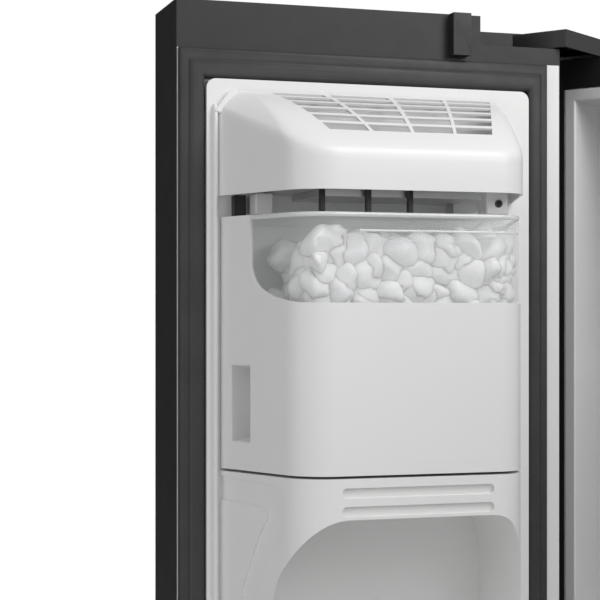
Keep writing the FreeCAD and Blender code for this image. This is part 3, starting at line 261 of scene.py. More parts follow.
def add_wall(thing, thickness, offset=-1.0):
    """Wall thickness behind a surface."""
    wall = thing.modifiers.new("wall", "SOLIDIFY")
    wall.thickness = thickness * MM
    wall.offset = offset
    wall.use_even_offset = True
    return wall


def piece(name, vertices, faces, slot, body, smooth=40):
    """A mesh piece from points in the freezer door's frame; it rides on a body."""
    mesh = bpy.data.meshes.new(name)
    mesh.from_pydata([FREEZER @ Vector(point) for point in vertices], [], faces)
    mesh.validate()
    tidy = bmesh.new()
    tidy.from_mesh(mesh)
    bmesh.ops.remove_doubles(tidy, verts=tidy.verts, dist=SAME_SPOT)
    bmesh.ops.recalc_face_normals(tidy, faces=tidy.faces)
    tidy.to_mesh(mesh)
    tidy.free()
    mesh.polygons.foreach_set("use_smooth", [True] * len(mesh.polygons))
    mesh.set_sharp_from_angle(angle=math.radians(smooth))
    thing = bpy.data.objects.new(name, mesh)
    bpy.context.collection.objects.link(thing)
    mesh.materials.append(MATERIALS[slot])
    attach(thing, body)
    return thing


def grid_faces(rows, columns, keep=lambda row, column: True):
    """Quads of a grid whose points come row by row."""
    return [(row * columns + column, row * columns + column + 1,
             (row + 1) * columns + column + 1, (row + 1) * columns + column)
            for row in range(rows - 1) for column in range(columns - 1) if keep(row, column)]


def prism_faces(count):
    """Faces between two loops of as many points, one after the other."""
    faces = [tuple(range(count)), tuple(range(count, 2 * count))]
    return faces + [(index, (index + 1) % count, (index + 1) % count + count, index + count)
                    for index in range(count)]


def block(name, corners, slot, body, soft=1.0):
    """A prism between two outlines with as many corners, with rounded edges."""
    low, high = corners
    thing = piece(name, list(low) + list(high), prism_faces(len(low)), slot, body)
    add_bevel(thing, soft, 3, 30)


def slab(name, u, n, z, slot, body, soft=1.0):
    """A block square to the door, with rounded edges."""
    low = [(u[0], n[0], z[0]), (u[1], n[0], z[0]), (u[1], n[1], z[0]), (u[0], n[1], z[0])]
    high = [(across, out, z[1]) for across, out, _ in low]
    block(name, (low, high), slot, body, soft)


def closed(first, second):
    """A closed mesh between two loops with as many points."""
    mesh = bpy.data.meshes.new("tool")
    mesh.from_pydata([Vector(spot) for spot in list(first) + list(second)], [],
                     prism_faces(len(first)))
    tidy = bmesh.new()
    tidy.from_mesh(mesh)
    bmesh.ops.recalc_face_normals(tidy, faces=tidy.faces)
    tidy.to_mesh(mesh)
    tidy.free()
    thing = bpy.data.objects.new("tool", mesh)
    bpy.context.collection.objects.link(thing)
    return thing


def upright(loop, low, high):
    """Closed prism over a plan outline of (u, n)."""
    return closed([(u, n, low) for u, n in loop], [(u, n, high) for u, n in loop])


def facing(loop, near, far):
    """Closed prism through an elevation outline of (u, z)."""
    return closed([(u, near, z) for u, z in loop], [(u, far, z) for u, z in loop])


def combine(base, steps):
    """Points and faces of a closed mesh after unions and cuts; the tools are used up."""
    for kind, tool in steps:
        change = base.modifiers.new(kind, "BOOLEAN")
        change.operation, change.object, change.solver = kind, tool, "EXACT"
    bpy.context.view_layer.update()
    result = base.evaluated_get(bpy.context.evaluated_depsgraph_get()).to_mesh()
    points = [vertex.co.copy() for vertex in result.vertices]
    faces = [tuple(polygon.vertices) for polygon in result.polygons]
    for thing in [base] + [tool for _, tool in steps]:
        mesh = thing.data
        bpy.data.objects.remove(thing)
        bpy.data.meshes.remove(mesh)
    return points, faces


def between(low, high, share):
    """Straight blend of two numbers."""
    return low + (high - low) * share


def bend(start, corner, end, radius, steps):
    """Points of the arc that rounds a corner."""
    into = (start - corner).normalized()
    away = (end - corner).normalized()
    half = into.angle(away) / 2
    middle = corner + (into + away).normalized() * (radius / math.sin(half))
    first = corner + into * (radius / math.tan(half)) - middle
    last = corner + away * (radius / math.tan(half)) - middle
    start_turn = math.atan2(first.y, first.x)
    sweep = math.remainder(math.atan2(last.y, last.x) - start_turn, 2 * math.pi)
    turns = [start_turn + sweep * step / steps for step in range(steps + 1)]
    return [middle + radius * Vector((math.cos(turn), math.sin(turn))) for turn in turns]


# ------------------------------------------------------------------ ice maker plan
FIELD_N, FRONT_N = 12.0, 130.0
SIDE_BACK, KNEE = Vector((362, FIELD_N)), Vector((325, 100))
CORNER, FRONT_RIGHT = Vector((312, FRONT_N)), Vector((103, FRONT_N))
RIGHT_BACK = Vector((60, FIELD_N))
ARC_LEFT, ARC_RIGHT = 45, 30
MIDDLE_U = 200.0
LEFT_SLOPE, LEFT_OUT = 0.4205, (0.922, 0.388)


def outline(step=3.0, back=FIELD_N):
    """The shared plan from its left back to its right back, as evenly spaced points."""
    corners = [SIDE_BACK.copy(), KNEE]
    corners += bend(KNEE, CORNER, FRONT_RIGHT, ARC_LEFT, 14)
    corners += bend(CORNER, FRONT_RIGHT, RIGHT_BACK, ARC_RIGHT, 12)
    corners.append(RIGHT_BACK.copy())
    path = []
    for first, second in zip(corners, corners[1:]):
        count = max(1, round((second - first).length / step))
        path += [first.lerp(second, index / count) for index in range(count)]
    path.append(corners[-1])
    return [point for point in path if point.y >= back - 0.01]


def shrink(path, inset):
    """An open path moved towards the inside of the plan."""
    moved = []
    for index, point in enumerate(path):
        ahead = path[min(index + 1, len(path) - 1)]
        behind = path[max(index - 1, 0)]
        along = (ahead - behind).normalized()
        moved.append(point + Vector((along.y, -along.x)) * -inset)
    return moved


def lengths(path):
    """Distance along a path at each of its points."""
    run, total = [0.0], 0.0
    for first, second in zip(path, path[1:]):
        total += (second - first).length
        run.append(total)
    return run


# ------------------------------------------------------------------ ice maker cover
COVER_LOW, CREASE, BACK_TOP = 1592.5, 1628.0, 1691.0
TOP_BACK_N = 15.0
GRILLE_FRONT = (273.8, 237.6, 205.0, 167.2, 133.0)
GRILLE_BACK = (317.5, 261.6, 192.4, 135.0, 85.4)
TOP_LEFT, TOP_RIGHT = 346.0, 77.0
BAR = 3.0
SLOT_ROWS = 6
GRILLE_NEAR, GRILLE_FAR, SLOT_SHARE = 0.215, 0.975, 0.72
FOLD, FOLD_STEPS = 8.0, 5
TOP_START, TOP_SECOND = 0.12, 0.17
LEFT_RISE, LEFT_BACK_RISE, RIGHT_RISE = 0.46, 0.386, 0.14
TOP_BULGE = 0.25
COVER_WALL = 2.2


def crease_height(point):
    """Height of the edge between the cover's wall and its top."""
    near, far = max(0.0, FRONT_N - max(point.y, KNEE.y)), max(0.0, KNEE.y - point.y)
    if point.x > MIDDLE_U:
        return CREASE + (LEFT_RISE * near + LEFT_BACK_RISE * far)
    return CREASE + RIGHT_RISE * (near + far)


def back_across(point):
    """Where the top's line from one plan point meets the cover's back edge."""
    if point.x >= GRILLE_FRONT[0]:
        share = (point.x - GRILLE_FRONT[0]) / (SIDE_BACK.x - GRILLE_FRONT[0])
        return between(GRILLE_BACK[0], TOP_LEFT, share)
    if point.x <= GRILLE_FRONT[-1]:
        share = (GRILLE_FRONT[-1] - point.x) / (GRILLE_FRONT[-1] - RIGHT_BACK.x)
        return between(GRILLE_BACK[-1], TOP_RIGHT, share)
    index = sum(point.x < front for front in GRILLE_FRONT[1:-1])
    near, far = GRILLE_FRONT[index], GRILLE_FRONT[index + 1]
    return between(GRILLE_BACK[index], GRILLE_BACK[index + 1], (near - point.x) / (near - far))


def cover_columns():
    """Plan points of the cover, with a pair at each bar of the grille."""
    edges = [GRILLE_FRONT[0], GRILLE_FRONT[-1]]
    for middle in GRILLE_FRONT[1:-1]:
        edges += [middle - BAR / 2, middle + BAR / 2]
    plan = outline(4.0)
    on_front = FRONT_N - 0.1
    front = [point for point in plan if point.y >= on_front
             and all(abs(point.x - edge) > 1.8 for edge in edges)]
    front += [Vector((edge, FRONT_N)) for edge in edges]
    left = [point for point in plan if point.y < on_front and point.x > MIDDLE_U]
    right = [point for point in plan if point.y < on_front and point.x < MIDDLE_U]
    return left + sorted(front, key=lambda point: -point.x) + right


def top_point(column, share):
    """A point of the cover's top from the crease (0) to the back edge (1)."""
    start = Vector((column.x, column.y, crease_height(column)))
    end = Vector((back_across(column), TOP_BACK_N, BACK_TOP))
    bulge = TOP_BULGE * (start.xy - end.xy).length * share * (1 - share)
    return start.lerp(end, share) + Vector((0, 0, bulge))


def ice_maker_cover():
    """Moulded hood with fanned slots in its top."""
    columns = cover_columns()
    pitch = (GRILLE_FAR - GRILLE_NEAR) / SLOT_ROWS
    slots = [(GRILLE_NEAR + row * pitch, GRILLE_NEAR + (row + SLOT_SHARE) * pitch)
             for row in range(SLOT_ROWS)]
    shares = sorted({TOP_START, TOP_SECOND, 1.0}
                    | {round(edge, 4) for slot in slots for edge in slot})
    levels = (0, 0.5, 1)
    rows = [[] for row in range(len(levels) + FOLD_STEPS + len(shares))]
    for point in columns:
        ridge = Vector((point.x, point.y, crease_height(point)))
        top = [Vector((point.x, point.y, between(COVER_LOW, ridge.z - FOLD, level)))
               for level in levels]
        run = top_point(point, TOP_START) - ridge
        begin, finish = top[-1], ridge + run.normalized() * min(FOLD, run.length * 0.8)
        for step in range(1, FOLD_STEPS + 1):
            share = step / FOLD_STEPS
            top.append(begin.lerp(ridge, share).lerp(ridge.lerp(finish, share), share))
        top += [top_point(point, share) for share in shares]
        for row, spot in zip(rows, top):
            row.append(spot)
    first_slot = len(levels) + FOLD_STEPS

    def is_wall(row, column):
        """True where the grid has no slot."""
        middle = (columns[column].x + columns[column + 1].x) / 2
        if row < first_slot or not GRILLE_FRONT[-1] < middle < GRILLE_FRONT[0]:
            return True
        if any(abs(middle - bar) < BAR / 2 for bar in GRILLE_FRONT[1:-1]):
            return True
        share = (shares[row - first_slot] + shares[row - first_slot + 1]) / 2
        return not any(low < share < high for low, high in slots)

    hood = piece("ice_maker_hood", [spot for row in rows for spot in row],
                 grid_faces(len(rows), len(columns), is_wall), "ice_cover_white",
                 "freezer_door", smooth=60)
    add_wall(hood, COVER_WALL).use_even_offset = False
    add_bevel(hood, 0.45, 2, 60)
    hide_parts("ice_maker_cover")


# ------------------------------------------------------------------ freezer door liner
HOUSING_LOW, HOUSING_TOP = 940.0, 1333.0
ARCH_LOW, ARCH_TOP, ARCH_BACK = 985.0, 1296.0, 22.0
ARCH_LEFT, ARCH_RIGHT = 331.0, 98.0
BAND_DEPTH = 1.7
VENT_U, VENT_LOWS, VENT_TALL, VENT_BACK = (131, 279), (1315.6, 1299.0), 9, 126.5
BEYOND = 140
PLATEAU_U, PLATEAU_Z = (40.5, 374.0), (112.0, 1704.0)
FLANGE_U, FLANGE_Z = (1.0, 400.0), (82.0, 1734.0)


def rounded_box(u, z, radius, steps=6):
    """Elevation outline of a box with rounded corners."""
    loop = []
    for turn, (across, up) in enumerate(((u[1], z[1]), (u[0], z[1]), (u[0], z[0]), (u[1], z[0]))):
        middle = (across - math.copysign(radius, across - sum(u) / 2),
                  up - math.copysign(radius, up - sum(z) / 2))
        for step in range(steps + 1):
            angle = math.pi / 2 * (turn + step / steps)
            loop.append((middle[0] + radius * math.cos(angle),
                         middle[1] + radius * math.sin(angle)))
    return loop


def curve(start, first, second, end, steps):
    """Points of a cubic bend."""
    spots = []
    for step in range(steps + 1):
        share = step / steps
        rest = 1 - share
        weights = (rest ** 3, 3 * rest * rest * share, 3 * rest * share * share, share ** 3)
        spots.append(tuple(sum(weight * spot[axis] for weight, spot in
                               zip(weights, (start, first, second, end))) for axis in (0, 1)))
    return spots


def arch_outline():
    """Elevation outline of the recess under the bin."""
    loop = [(ARCH_RIGHT, ARCH_LOW), (ARCH_LEFT, ARCH_LOW)]
    loop += curve((ARCH_LEFT, 1212), (ARCH_LEFT, 1262), (305, ARCH_TOP), (272, ARCH_TOP), 14)
    loop += curve((134, ARCH_TOP), (109, ARCH_TOP), (ARCH_RIGHT, 1280), (ARCH_RIGHT, 1215), 12)
    return loop


def left_face(n, z, proud):
    """A point over the housing's slanted left face."""
    along = SIDE_BACK.x - LEFT_SLOPE * (n - FIELD_N)
    return (along + LEFT_OUT[0] * proud, n + LEFT_OUT[1] * proud, z)


def band():
    """Shallow recessed strip across the slanted face and back down it."""
    outer = [(13, 1328), (60, 1326.5), (90, 1325), (96, 1323), (99, 1317), (99.5, 1300),
             (99.3, 1284), (96, 1276), (71.4, 1244), (64.7, 1227), (58.5, 1215), (54.5, 1202),
             (53, 1188), (53, 1000)]
    inner = [(41.5, 1000), (41.5, 1190), (43.4, 1216), (45, 1226.5), (50.2, 1240), (58.8, 1259.5),
             (68.9, 1280.3), (77, 1292), (78.6, 1297), (78, 1301.5), (75, 1303.4), (13, 1305.5)]
    loop = outer + inner
    return closed([left_face(n, z, -BAND_DEPTH) for n, z in loop],
                  [left_face(n, z, 6) for n, z in loop])


def outlet():
    """The slanting ice passage in the housing's top, under the bin."""
    low = [(165.5, 34, 1300), (235.5, 34, 1300), (235.5, 82, 1300), (165.5, 82, 1300)]
    return closed(low, [(u, n + 34, 1334) for u, n, _ in low])


def door_liner():
    """White formed liner: flange, raised field and the housing under the ice bin."""
    base = facing([(FLANGE_U[0], FLANGE_Z[0]), (FLANGE_U[1], FLANGE_Z[0]),
                   (FLANGE_U[1], FLANGE_Z[1]), (FLANGE_U[0], FLANGE_Z[1])], -2, 0)
    field = facing(rounded_box(PLATEAU_U, PLATEAU_Z, 9), -1, FIELD_N)
    plan = [(point.x, point.y) for point in outline(6.0)]
    plan += [(RIGHT_BACK.x, 5), (SIDE_BACK.x, 5)]
    housing = upright(plan, HOUSING_LOW, HOUSING_TOP)
    arch = facing(arch_outline(), ARCH_BACK, BEYOND)
    steps = [("UNION", field), ("UNION", housing), ("DIFFERENCE", arch), ("DIFFERENCE", band())]
    for low in VENT_LOWS:
        vent = rounded_box(VENT_U, (low, low + VENT_TALL), 4.4)
        steps.append(("DIFFERENCE", facing(vent, VENT_BACK, BEYOND)))
    steps.append(("DIFFERENCE", outlet()))
    points, faces = combine(base, steps)
    liner = piece("door_liner", points, faces, "white_liner", "freezer_door", smooth=35)
    add_bevel(liner, 1.8, 3, 32)
    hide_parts("freezer_door_liner")


def liner_ridge():
    """Half-round bead up the liner's free side, with a slanting ear at its top."""
    around, rings = 12, []
    middle, half_wide, rise, seat = 366.4, 3.2, 7.0, FIELD_N - 0.5
    for height, share in ((112, 0.3), (116, 0.85), (122, 1), (1666, 1), (1674, 0.93),
                          (1678, 0.7), (1680, 0.3)):
        turns = [math.pi * step / around for step in range(around + 1)]
        rings.append([(middle + half_wide * share * math.cos(turn),
                       seat + rise * share * math.sin(turn), height) for turn in turns])
    points = [point for ring in rings for point in ring]
    faces = grid_faces(len(rings), around + 1)
    faces += [tuple(range(around + 1)), tuple(range(len(points) - around - 1, len(points)))]
    piece("liner_ridge", points, faces, "white_liner", "freezer_door", smooth=60)
    ear = [(368.5, 1672), (354, 1691), (347, 1694), (345, 1690), (360, 1670)]
    block("liner_ear", ([(u, seat, z) for u, z in ear], [(u, 19, z) for u, z in ear]),
          "white_liner", "freezer_door", 1.5)


# ------------------------------------------------------------------ freezer door gasket
GASKET_U, GASKET_Z = (16.5, 399.0), (84.0, 1733.4)
GASKET_PROFILE = ((0.0, 0.0), (0.0, 3.5), (0.03, 5.5), (0.08, 6.5), (0.3, 7.4), (0.36, 7.0),
                  (0.4, 8.2), (0.46, 10.2), (0.56, 11.2), (0.75, 11.5), (0.88, 11.0),
                  (0.95, 9.6), (0.985, 7.5), (1.0, 4.0), (1.0, 0.0))


def gasket():
    """Magnetic seal with a lip, a magnet pocket and creases, mitred at its corners."""
    inner_u = (PLATEAU_U[0] - 0.7, PLATEAU_U[1] + 0.7)
    inner_z = (PLATEAU_Z[0] - 0.7, PLATEAU_Z[1] + 0.7)
    rows = []
    for across, rise in GASKET_PROFILE:
        u = [between(far, near, across) for far, near in zip(GASKET_U, inner_u)]
        z = [between(far, near, across) for far, near in zip(GASKET_Z, inner_z)]
        rows.append([(u[0], rise, z[0]), (u[1], rise, z[0]), (u[1], rise, z[1]),
                     (u[0], rise, z[1]), (u[0], rise, z[0])])
    points = [point for row in rows for point in row]
    seal = piece("door_gasket", points, grid_faces(len(rows), 5), "gasket_grey", "freezer_door",
                 smooth=50)
    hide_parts("freezer_door_gasket")


# ------------------------------------------------------------------ under the cover
def under_cover():
    """Posts, guides and a bracket with a screw between the cover and the bin."""
    slab("bin_guide_post", (338, 350), (12, 22), (1573.5, 1593), "black_plastic",
         "freezer_door", 0.8)
    slab("bin_guide_block", (317, 334), (12, 40), (1574, 1594), "white_liner",
         "freezer_door", 1.5)
    for index, across in enumerate((289.5, 245, 204)):
        slab(f"ice_guide_{index + 1}", (across - 2.4, across + 2.4), (100, 106), (1574, 1600),
             "black_plastic", "freezer_door", 0.8)
    slab("cover_bracket", (104, 126), (96, 101), (1574.5, 1600), "white_liner",
         "freezer_door", 1.2)
    around = 24
    head = [(114 + 3.6 * math.cos(2 * math.pi * step / around),
             1584.5 + 3.6 * math.sin(2 * math.pi * step / around)) for step in range(around)]
    slot = [(112, 1584.1), (116, 1584.1), (116, 1584.9), (112, 1584.9)]
    post = [(113.6, 1582.5), (114.4, 1582.5), (114.4, 1586.5), (113.6, 1586.5)]
    points, faces = combine(facing(head, 100, 102.4), [
        ("DIFFERENCE", facing(slot, 101.4, 104)), ("DIFFERENCE", facing(post, 101.4, 104))])
    screw = piece("cover_screw", points, faces, "black_plastic", "freezer_door")
    add_bevel(screw, 0.25, 2, 50)


# ------------------------------------------------------------------ ice bin
BIN_LOW, BIN_TOP, BIN_BACK = 1335.5, 1572.5, 13.0
WINDOW_START, WINDOW_LOW = 44.0, 1491.0
WINDOW_EDGE = ((44, 1527), (47, 1517), (51, 1510.5), (56, 1506), (64, 1501.5), (76, 1497),
               (95, 1493), (112, 1491.3), (130, WINDOW_LOW))


def opaque_top(run):
    """Top edge of the bin's white wall at a distance along its plan."""
    if run < WINDOW_START:
        return BIN_TOP
    for (near, high), (far, low) in zip(WINDOW_EDGE, WINDOW_EDGE[1:]):
        if run <= far:
            return between(high, low, (run - near) / (far - near))
    return WINDOW_LOW


def wall_grid(path, low, high, levels):
    """Rows of points up a wall; low and high take the distance along the path."""
    runs = lengths(path)
    return [[(point.x, point.y, between(low(run), high(run), level / levels))
             for point, run in zip(path, runs)] for level in range(levels + 1)]


def bin_path(inset=0.0):
    """The bin's plan with an extra point each side of the window's upright edge."""
    path = outline(3.0, BIN_BACK)
    runs = lengths(path)
    side = (SIDE_BACK - KNEE).normalized()
    start = path[0] - side * (WINDOW_START - 0.4)
    end = path[0] - side * (WINDOW_START + 0.4)
    kept = [point for point, run in zip(path, runs) if abs(run - WINDOW_START) > 1.2]
    index = sum(run < WINDOW_START for point, run in zip(path, runs)
                if abs(run - WINDOW_START) > 1.2)
    path = kept[:index] + [start, end] + kept[index:]
    return shrink(path, inset) if inset else path


GRIP_N, GRIP_Z = (28.0, 56.0), (1361.0, 1434.0)


def finger_recess(ends):
    """Pocket for the fingers behind the opening in the bin's left wall."""
    inward = -Vector((*LEFT_OUT, 0))
    rim = [Vector((spot.x, spot.y, level)) + inward * 0.4 for spot, level in
           ((ends[0], GRIP_Z[0]), (ends[1], GRIP_Z[0]), (ends[1], GRIP_Z[1]),
            (ends[0], GRIP_Z[1]))]
    middle = sum(rim, Vector()) / 4
    floor_loop = [middle + (spot - middle) * 0.9 + inward * 24 for spot in rim]
    pocket = piece("ice_bin_grip", rim + floor_loop, prism_faces(4)[1:], "ice_cover_white",
                   "ice_bin")
    add_wall(pocket, 1.6, 0.0)
    add_bevel(pocket, 1.2, 3, 40)


def ice_bin():
    """White bin with a swept window edge, a clear pane, a rim and ribs."""
    path = bin_path()
    rows = [[(point.x, point.y, level) for point in path]
            for level in (BIN_LOW, 1350, *GRIP_Z, 1455, 1475)]
    rows += wall_grid(path, lambda run: 1481, opaque_top, 5)
    grip_low = sum(row[0][2] < GRIP_Z[0] for row in rows)
    rows[grip_low + 1:grip_low + 1] = [[(point.x, point.y, level) for point in path]
                                       for level in (GRIP_Z[0] + 3, GRIP_Z[1] - 3)]
    grip = [index for index, point in enumerate(path)
            if point.x > MIDDLE_U and GRIP_N[0] < point.y < GRIP_N[1]]
    points = [point for row in rows for point in row]
    faces = grid_faces(len(rows), len(path), lambda row, column: not (
        grip_low <= row < grip_low + 3 and grip[0] <= column < grip[-1]))
    finger_recess([path[grip[0]], path[grip[-1]]])
    base = len(points)
    points += [(point.x, point.y, BIN_LOW) for point in path]
    faces.append(tuple(range(base, base + len(path))))
    tub = piece("ice_bin_tub", points, faces, "ice_cover_white", "ice_bin")
    add_wall(tub, 3.4)
    add_bevel(tub, 1.5, 4, 50)
    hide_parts("ice_bin")
    clear_path = [point for point, run in zip(bin_path(1.8), lengths(path))
                  if run > WINDOW_START - 4]
    rows = wall_grid(clear_path, lambda run: WINDOW_LOW - 6, lambda run: BIN_TOP, 3)
    pane = piece("ice_bin_pane", [point for row in rows for point in row],
                 grid_faces(len(rows), len(clear_path)), "window", "ice_bin")
    add_wall(pane, 1.6)
    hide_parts("ice_bin_window")
    # The rim and rib beads are real, and their whiter, more opaque finish paints the highlight
    # lines along them
    rim(clear_path, BIN_TOP - 2.2, 2.2, "ice_bin_rim")
    rim([point for point in clear_path if 100 < point.x < 262 and point.y > 100],
        1556.0, 1.1, "ice_bin_rib")
    back_wall()


def rim(path, height, radius, name):
    """A rounded clear bead along a path; its finish is more opaque and whiter than the pane, a
    painted highlight line along the bead.
    """
    points, faces, around = [], [], 8
    for point in path:
        for step in range(around):
            turn = 2 * math.pi * step / around
            points.append((point.x, point.y - 0.6 + radius * math.cos(turn),
                           height + radius * math.sin(turn)))
    for index in range(len(path) - 1):
        for step in range(around):
            after = (step + 1) % around
            faces.append((index * around + step, index * around + after,
                          (index + 1) * around + after, (index + 1) * around + step))
    faces += [tuple(range(around)), tuple(range(len(points) - around, len(points)))]
    piece(name, points, faces, "rim_clear", "ice_bin")


def back_wall():
    """Rear wall of the bin, behind the ice."""
    points = [(60, 14, BIN_LOW + 2), (359, 14, BIN_LOW + 2), (359, 14, BIN_TOP - 8),
              (60, 14, BIN_TOP - 8)]
    wall = piece("ice_bin_back", points, [(0, 1, 2, 3)], "ice_cover_white", "ice_bin")
    add_wall(wall, 2.0)
    add_bevel(wall, 0.7, 2, 50)


# ------------------------------------------------------------------ ice
def ice_lump(rng, size):
    """One broken ice piece: an uneven block with a few flat sides."""
    lump = bmesh.new()
    bmesh.ops.create_icosphere(lump, subdivisions=3, radius=1.0)
    seed = Vector((rng.random() * 50, rng.random() * 50, rng.random() * 50))
    sides = [Vector((rng.uniform(-1, 1), rng.uniform(-1, 1), rng.uniform(-1, 1))).normalized()
             for _ in range(11)]
    squash = Vector((1.0, rng.uniform(0.6, 0.85), rng.uniform(0.7, 1.05)))
    for vertex in lump.verts:
        ray = vertex.co.normalized()
        reach = min([1.0] + [0.72 / ray.dot(side) for side in sides if ray.dot(side) > 0.3])
        spot = ray * (reach + 0.14 * noise.noise(ray * 1.3 + seed)) * size * 0.6
        vertex.co = Vector(a * b for a, b in zip(spot, squash))
    turn = Matrix.Rotation(rng.uniform(0, 6.28), 4, Vector(
        (rng.uniform(-1, 1), rng.uniform(-1, 1), rng.uniform(-1, 1))).normalized())
    bmesh.ops.transform(lump, matrix=turn, verts=lump.verts)
    return lump


ICE_LOW, ICE_LAYERS, LAYER_STEP = 1488, 6, 13
ICE_START, ICE_COLUMNS, COLUMN_STEP = 96, 11, 24
ICE_ROWS, ICE_CREST = (112, 90, 66, 42), 1548


def ice_heap():
    """Loose pieces filling the bin behind its window."""
    rng = random.Random(41)
    heap = bmesh.new()
    for layer in range(ICE_LAYERS):
        level = ICE_LOW + layer * LAYER_STEP
        for out in ICE_ROWS:
            shift = rng.uniform(0, 12)
            for step in range(ICE_COLUMNS):
                across = ICE_START + shift + step * COLUMN_STEP + rng.uniform(-4, 4)
                crest = ICE_CREST + 9 * noise.noise(Vector((across * 0.02, out * 0.02, 3)))
                size = rng.uniform(30, 44)
                limit = 331 - 0.42 * max(0, out - 100) - 0.2 * (out - 40)
                height = level + rng.uniform(-5, 5)
                edge = 64 + 0.364 * (out - FIELD_N)
                if across > limit - size * 0.4 or height > crest - size * 0.1:
                    continue
                across = max(across, edge + size * 0.55)
                spot = Vector((across, min(out + rng.uniform(-5, 5), 124 - size * 0.5), height))
                lump = ice_lump(rng, size)
                bmesh.ops.translate(lump, vec=spot, verts=lump.verts)
                scratch = bpy.data.meshes.new("lump")
                lump.to_mesh(scratch)
                lump.free()
                heap.from_mesh(scratch)
                bpy.data.meshes.remove(scratch)
    heap.verts.index_update()
    points = [vertex.co.copy() for vertex in heap.verts]
    faces = [tuple(vertex.index for vertex in face.verts) for face in heap.faces]
    heap.free()
    ice = piece("ice_heap", points, faces, "ice", "ice_bin", smooth=80)
    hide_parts("ice_cubes")


# ------------------------------------------------------------------ CAD pieces
EDGE_SOFTNESS = {
    "cabinet_wrapper": 1.2, "freezer_liner": 5.0, "fridge_liner": 5.0, "freezer_door_caps": 1.2,
    "fridge_door_caps": 1.2, "freezer_door_skin": 0.4, "fridge_door_skin": 0.4,
    "hinge_covers": 0.9, "freezer_door_handle": 5.0, "fridge_door_handle": 5.0,
    "freezer_door_bins": 1.1, "fridge_door_bins": 1.1, "dispenser_housing": 2.0,
    "fridge_door_liner": 4.0, "crisper_lower": 1.4, "crisper_upper": 1.4,
    "freezer_drawer_lower": 2.0, "freezer_drawer_upper": 2.0,
}
DEFAULT_SOFTNESS = 0.6


def dress_frame():
    """Each CAD piece gets its finish and slightly worn edges."""
    for entry in frame["record"]["subparts"]:
        thing = NODES[entry["node"]]
        thing.data.materials.clear()
        thing.data.materials.append(MATERIALS[entry["material_slot"]])
        weld = thing.modifiers.new("weld", "WELD")
        weld.merge_threshold = SAME_SPOT
        width = EDGE_SOFTNESS.get(entry["node"], DEFAULT_SOFTNESS)
        add_bevel(thing, width, 3 if width > 0.8 else 2, 35)


# ------------------------------------------------------------------ setting
LENS_MM, SENSOR_MM, IMAGE_SIDE = 99.0, 36.0, 600
HORIZON_ROW = 316.0
CAMERA_AT = Vector((758.5, 1524.4, 1479.0))
CAMERA_AIM = Vector((-0.3007, -0.9537, 0.0))


def camera():
    """Level camera in front of the open freezer door's inside."""
    data = bpy.data.cameras.new("camera")
    data.lens = LENS_MM
    data.sensor_width = SENSOR_MM
    data.shift_y = (HORIZON_ROW - IMAGE_SIDE / 2) / IMAGE_SIDE
    data.clip_start, data.clip_end = 0.05, 40
    seen_from = bpy.data.objects.new("camera", data)
    bpy.context.collection.objects.link(seen_from)
    seen_from.location = FREEZER @ CAMERA_AT
    aim = (FREEZER.to_3x3() @ CAMERA_AIM).normalized()
    seen_from.rotation_euler = aim.to_track_quat("-Z", "Y").to_euler()
    bpy.context.scene.camera = seen_from
    return aim


def area_light(name, spot, target, width, height, power):
    """A soft rectangular light between two points in the freezer door's frame."""
    spot, target = FREEZER @ Vector(spot), FREEZER @ Vector(target)
    data = bpy.data.lights.new(name, "AREA")
    data.shape = "RECTANGLE"
    data.size, data.size_y, data.energy = width, height, power
    lamp = bpy.data.objects.new(name, data)
    bpy.context.collection.objects.link(lamp)
    lamp.location = spot
    lamp.rotation_euler = (target - spot).to_track_quat("-Z", "Y").to_euler()


AMBIENT, DARK_SIDE = 0.5, 0.1


def facing_share(tree, direction):
    """How far each direction of the surroundings agrees with a fixed one."""
    place = tree.nodes.new("ShaderNodeTexCoord")
    share = tree.nodes.new("ShaderNodeVectorMath")
    share.operation = "DOT_PRODUCT"
    share.inputs[1].default_value = direction
    tree.links.new(place.outputs["Generated"], share.inputs[0])
    return share.outputs["Value"]


def scale_of(tree, value, limits):
    """A value moved from one range to another: (from, to, low, high)."""
    spread = tree.nodes.new("ShaderNodeMapRange")
    for socket, limit in zip(("From Min", "From Max", "To Min", "To Max"), limits):
        spread.inputs[socket].default_value = limit
    tree.links.new(value, spread.inputs["Value"])
    return spread.outputs["Result"]


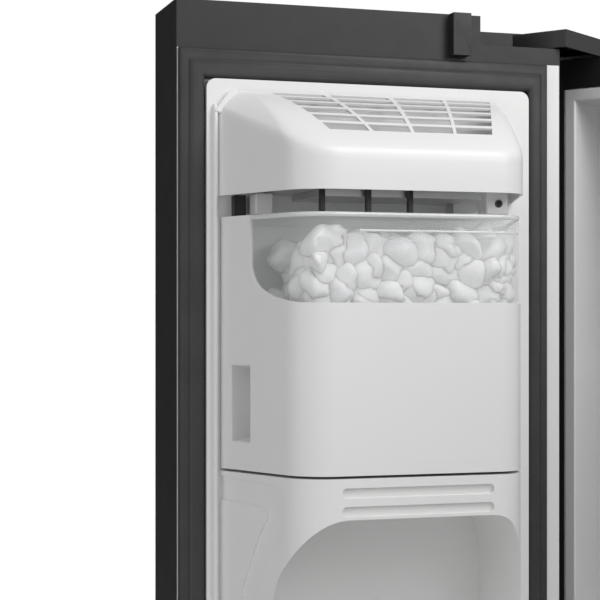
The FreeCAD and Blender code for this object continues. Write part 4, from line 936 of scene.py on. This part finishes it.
def product(tree, first, second):
    """Two values multiplied."""
    times = tree.nodes.new("ShaderNodeMath")
    times.operation = "MULTIPLY"
    tree.links.new(first, times.inputs[0])
    tree.links.new(second, times.inputs[1])
    return times.outputs["Value"]


def room(aim):
    """A bright backdrop ahead, dimmer surroundings and a dark side to the camera's left."""
    world = bpy.data.worlds.new("studio")
    bpy.context.scene.world = world
    world.use_nodes = True
    tree = world.node_tree
    tree.nodes.clear()
    ahead = facing_share(tree, (aim.x, aim.y, 0))
    aside = facing_share(tree, (-aim.y, aim.x, 0))
    backdrop = scale_of(tree, ahead, (0.82, 0.965, AMBIENT, 1.0))
    dark_side = product(tree, scale_of(tree, aside, (0.25, 0.4, 0.0, 1.0)),
                        scale_of(tree, ahead, (-0.1, 0.3, 0.0, 1.0)))
    keep = scale_of(tree, dark_side, (0.0, 1.0, 1.0, DARK_SIDE))
    both = product(tree, backdrop, keep)
    shade = tree.nodes.new("ShaderNodeBackground")
    tree.links.new(both, shade.inputs["Strength"])
    shade.inputs["Color"].default_value = (1, 1, 1, 1)
    out = tree.nodes.new("ShaderNodeOutputWorld")
    tree.links.new(shade.outputs["Background"], out.inputs["Surface"])


def floor():
    """A wide pale floor."""
    mesh = bpy.data.meshes.new("floor")
    count, radius = 64, 4.8
    mesh.from_pydata([(radius * math.cos(2 * math.pi * step / count),
                       radius * math.sin(2 * math.pi * step / count) - 0.5, 0)
                      for step in range(count)], [], [tuple(range(count))])
    ground = bpy.data.objects.new("floor", mesh)
    bpy.context.collection.objects.link(ground)
    shader = Shader("floor_paint", 0.5)
    shader.colour(shader.noise(2), (0.82, 0.82, 0.82), (0.86, 0.86, 0.86))
    shader.bump(shader.noise(300, 2), 0.1, 0.0003)
    mesh.materials.append(shader.material)


bpy.context.scene.view_settings.view_transform = "Standard"
dress_frame()
door_liner()
liner_ridge()
gasket()
ice_maker_cover()
under_cover()
ice_bin()
ice_heap()
floor()
room(camera())
area_light("key", (-580, 1490, 3430), (200, 60, 1400), 1.2, 1.2, 27)
area_light("fill", (-1040, 2170, 2370), (200, 60, 1450), 1.0, 0.8, 15)
area_light("side", (2600, 800, 1900), (200, 60, 1400), 1.0, 1.0, 5.5)
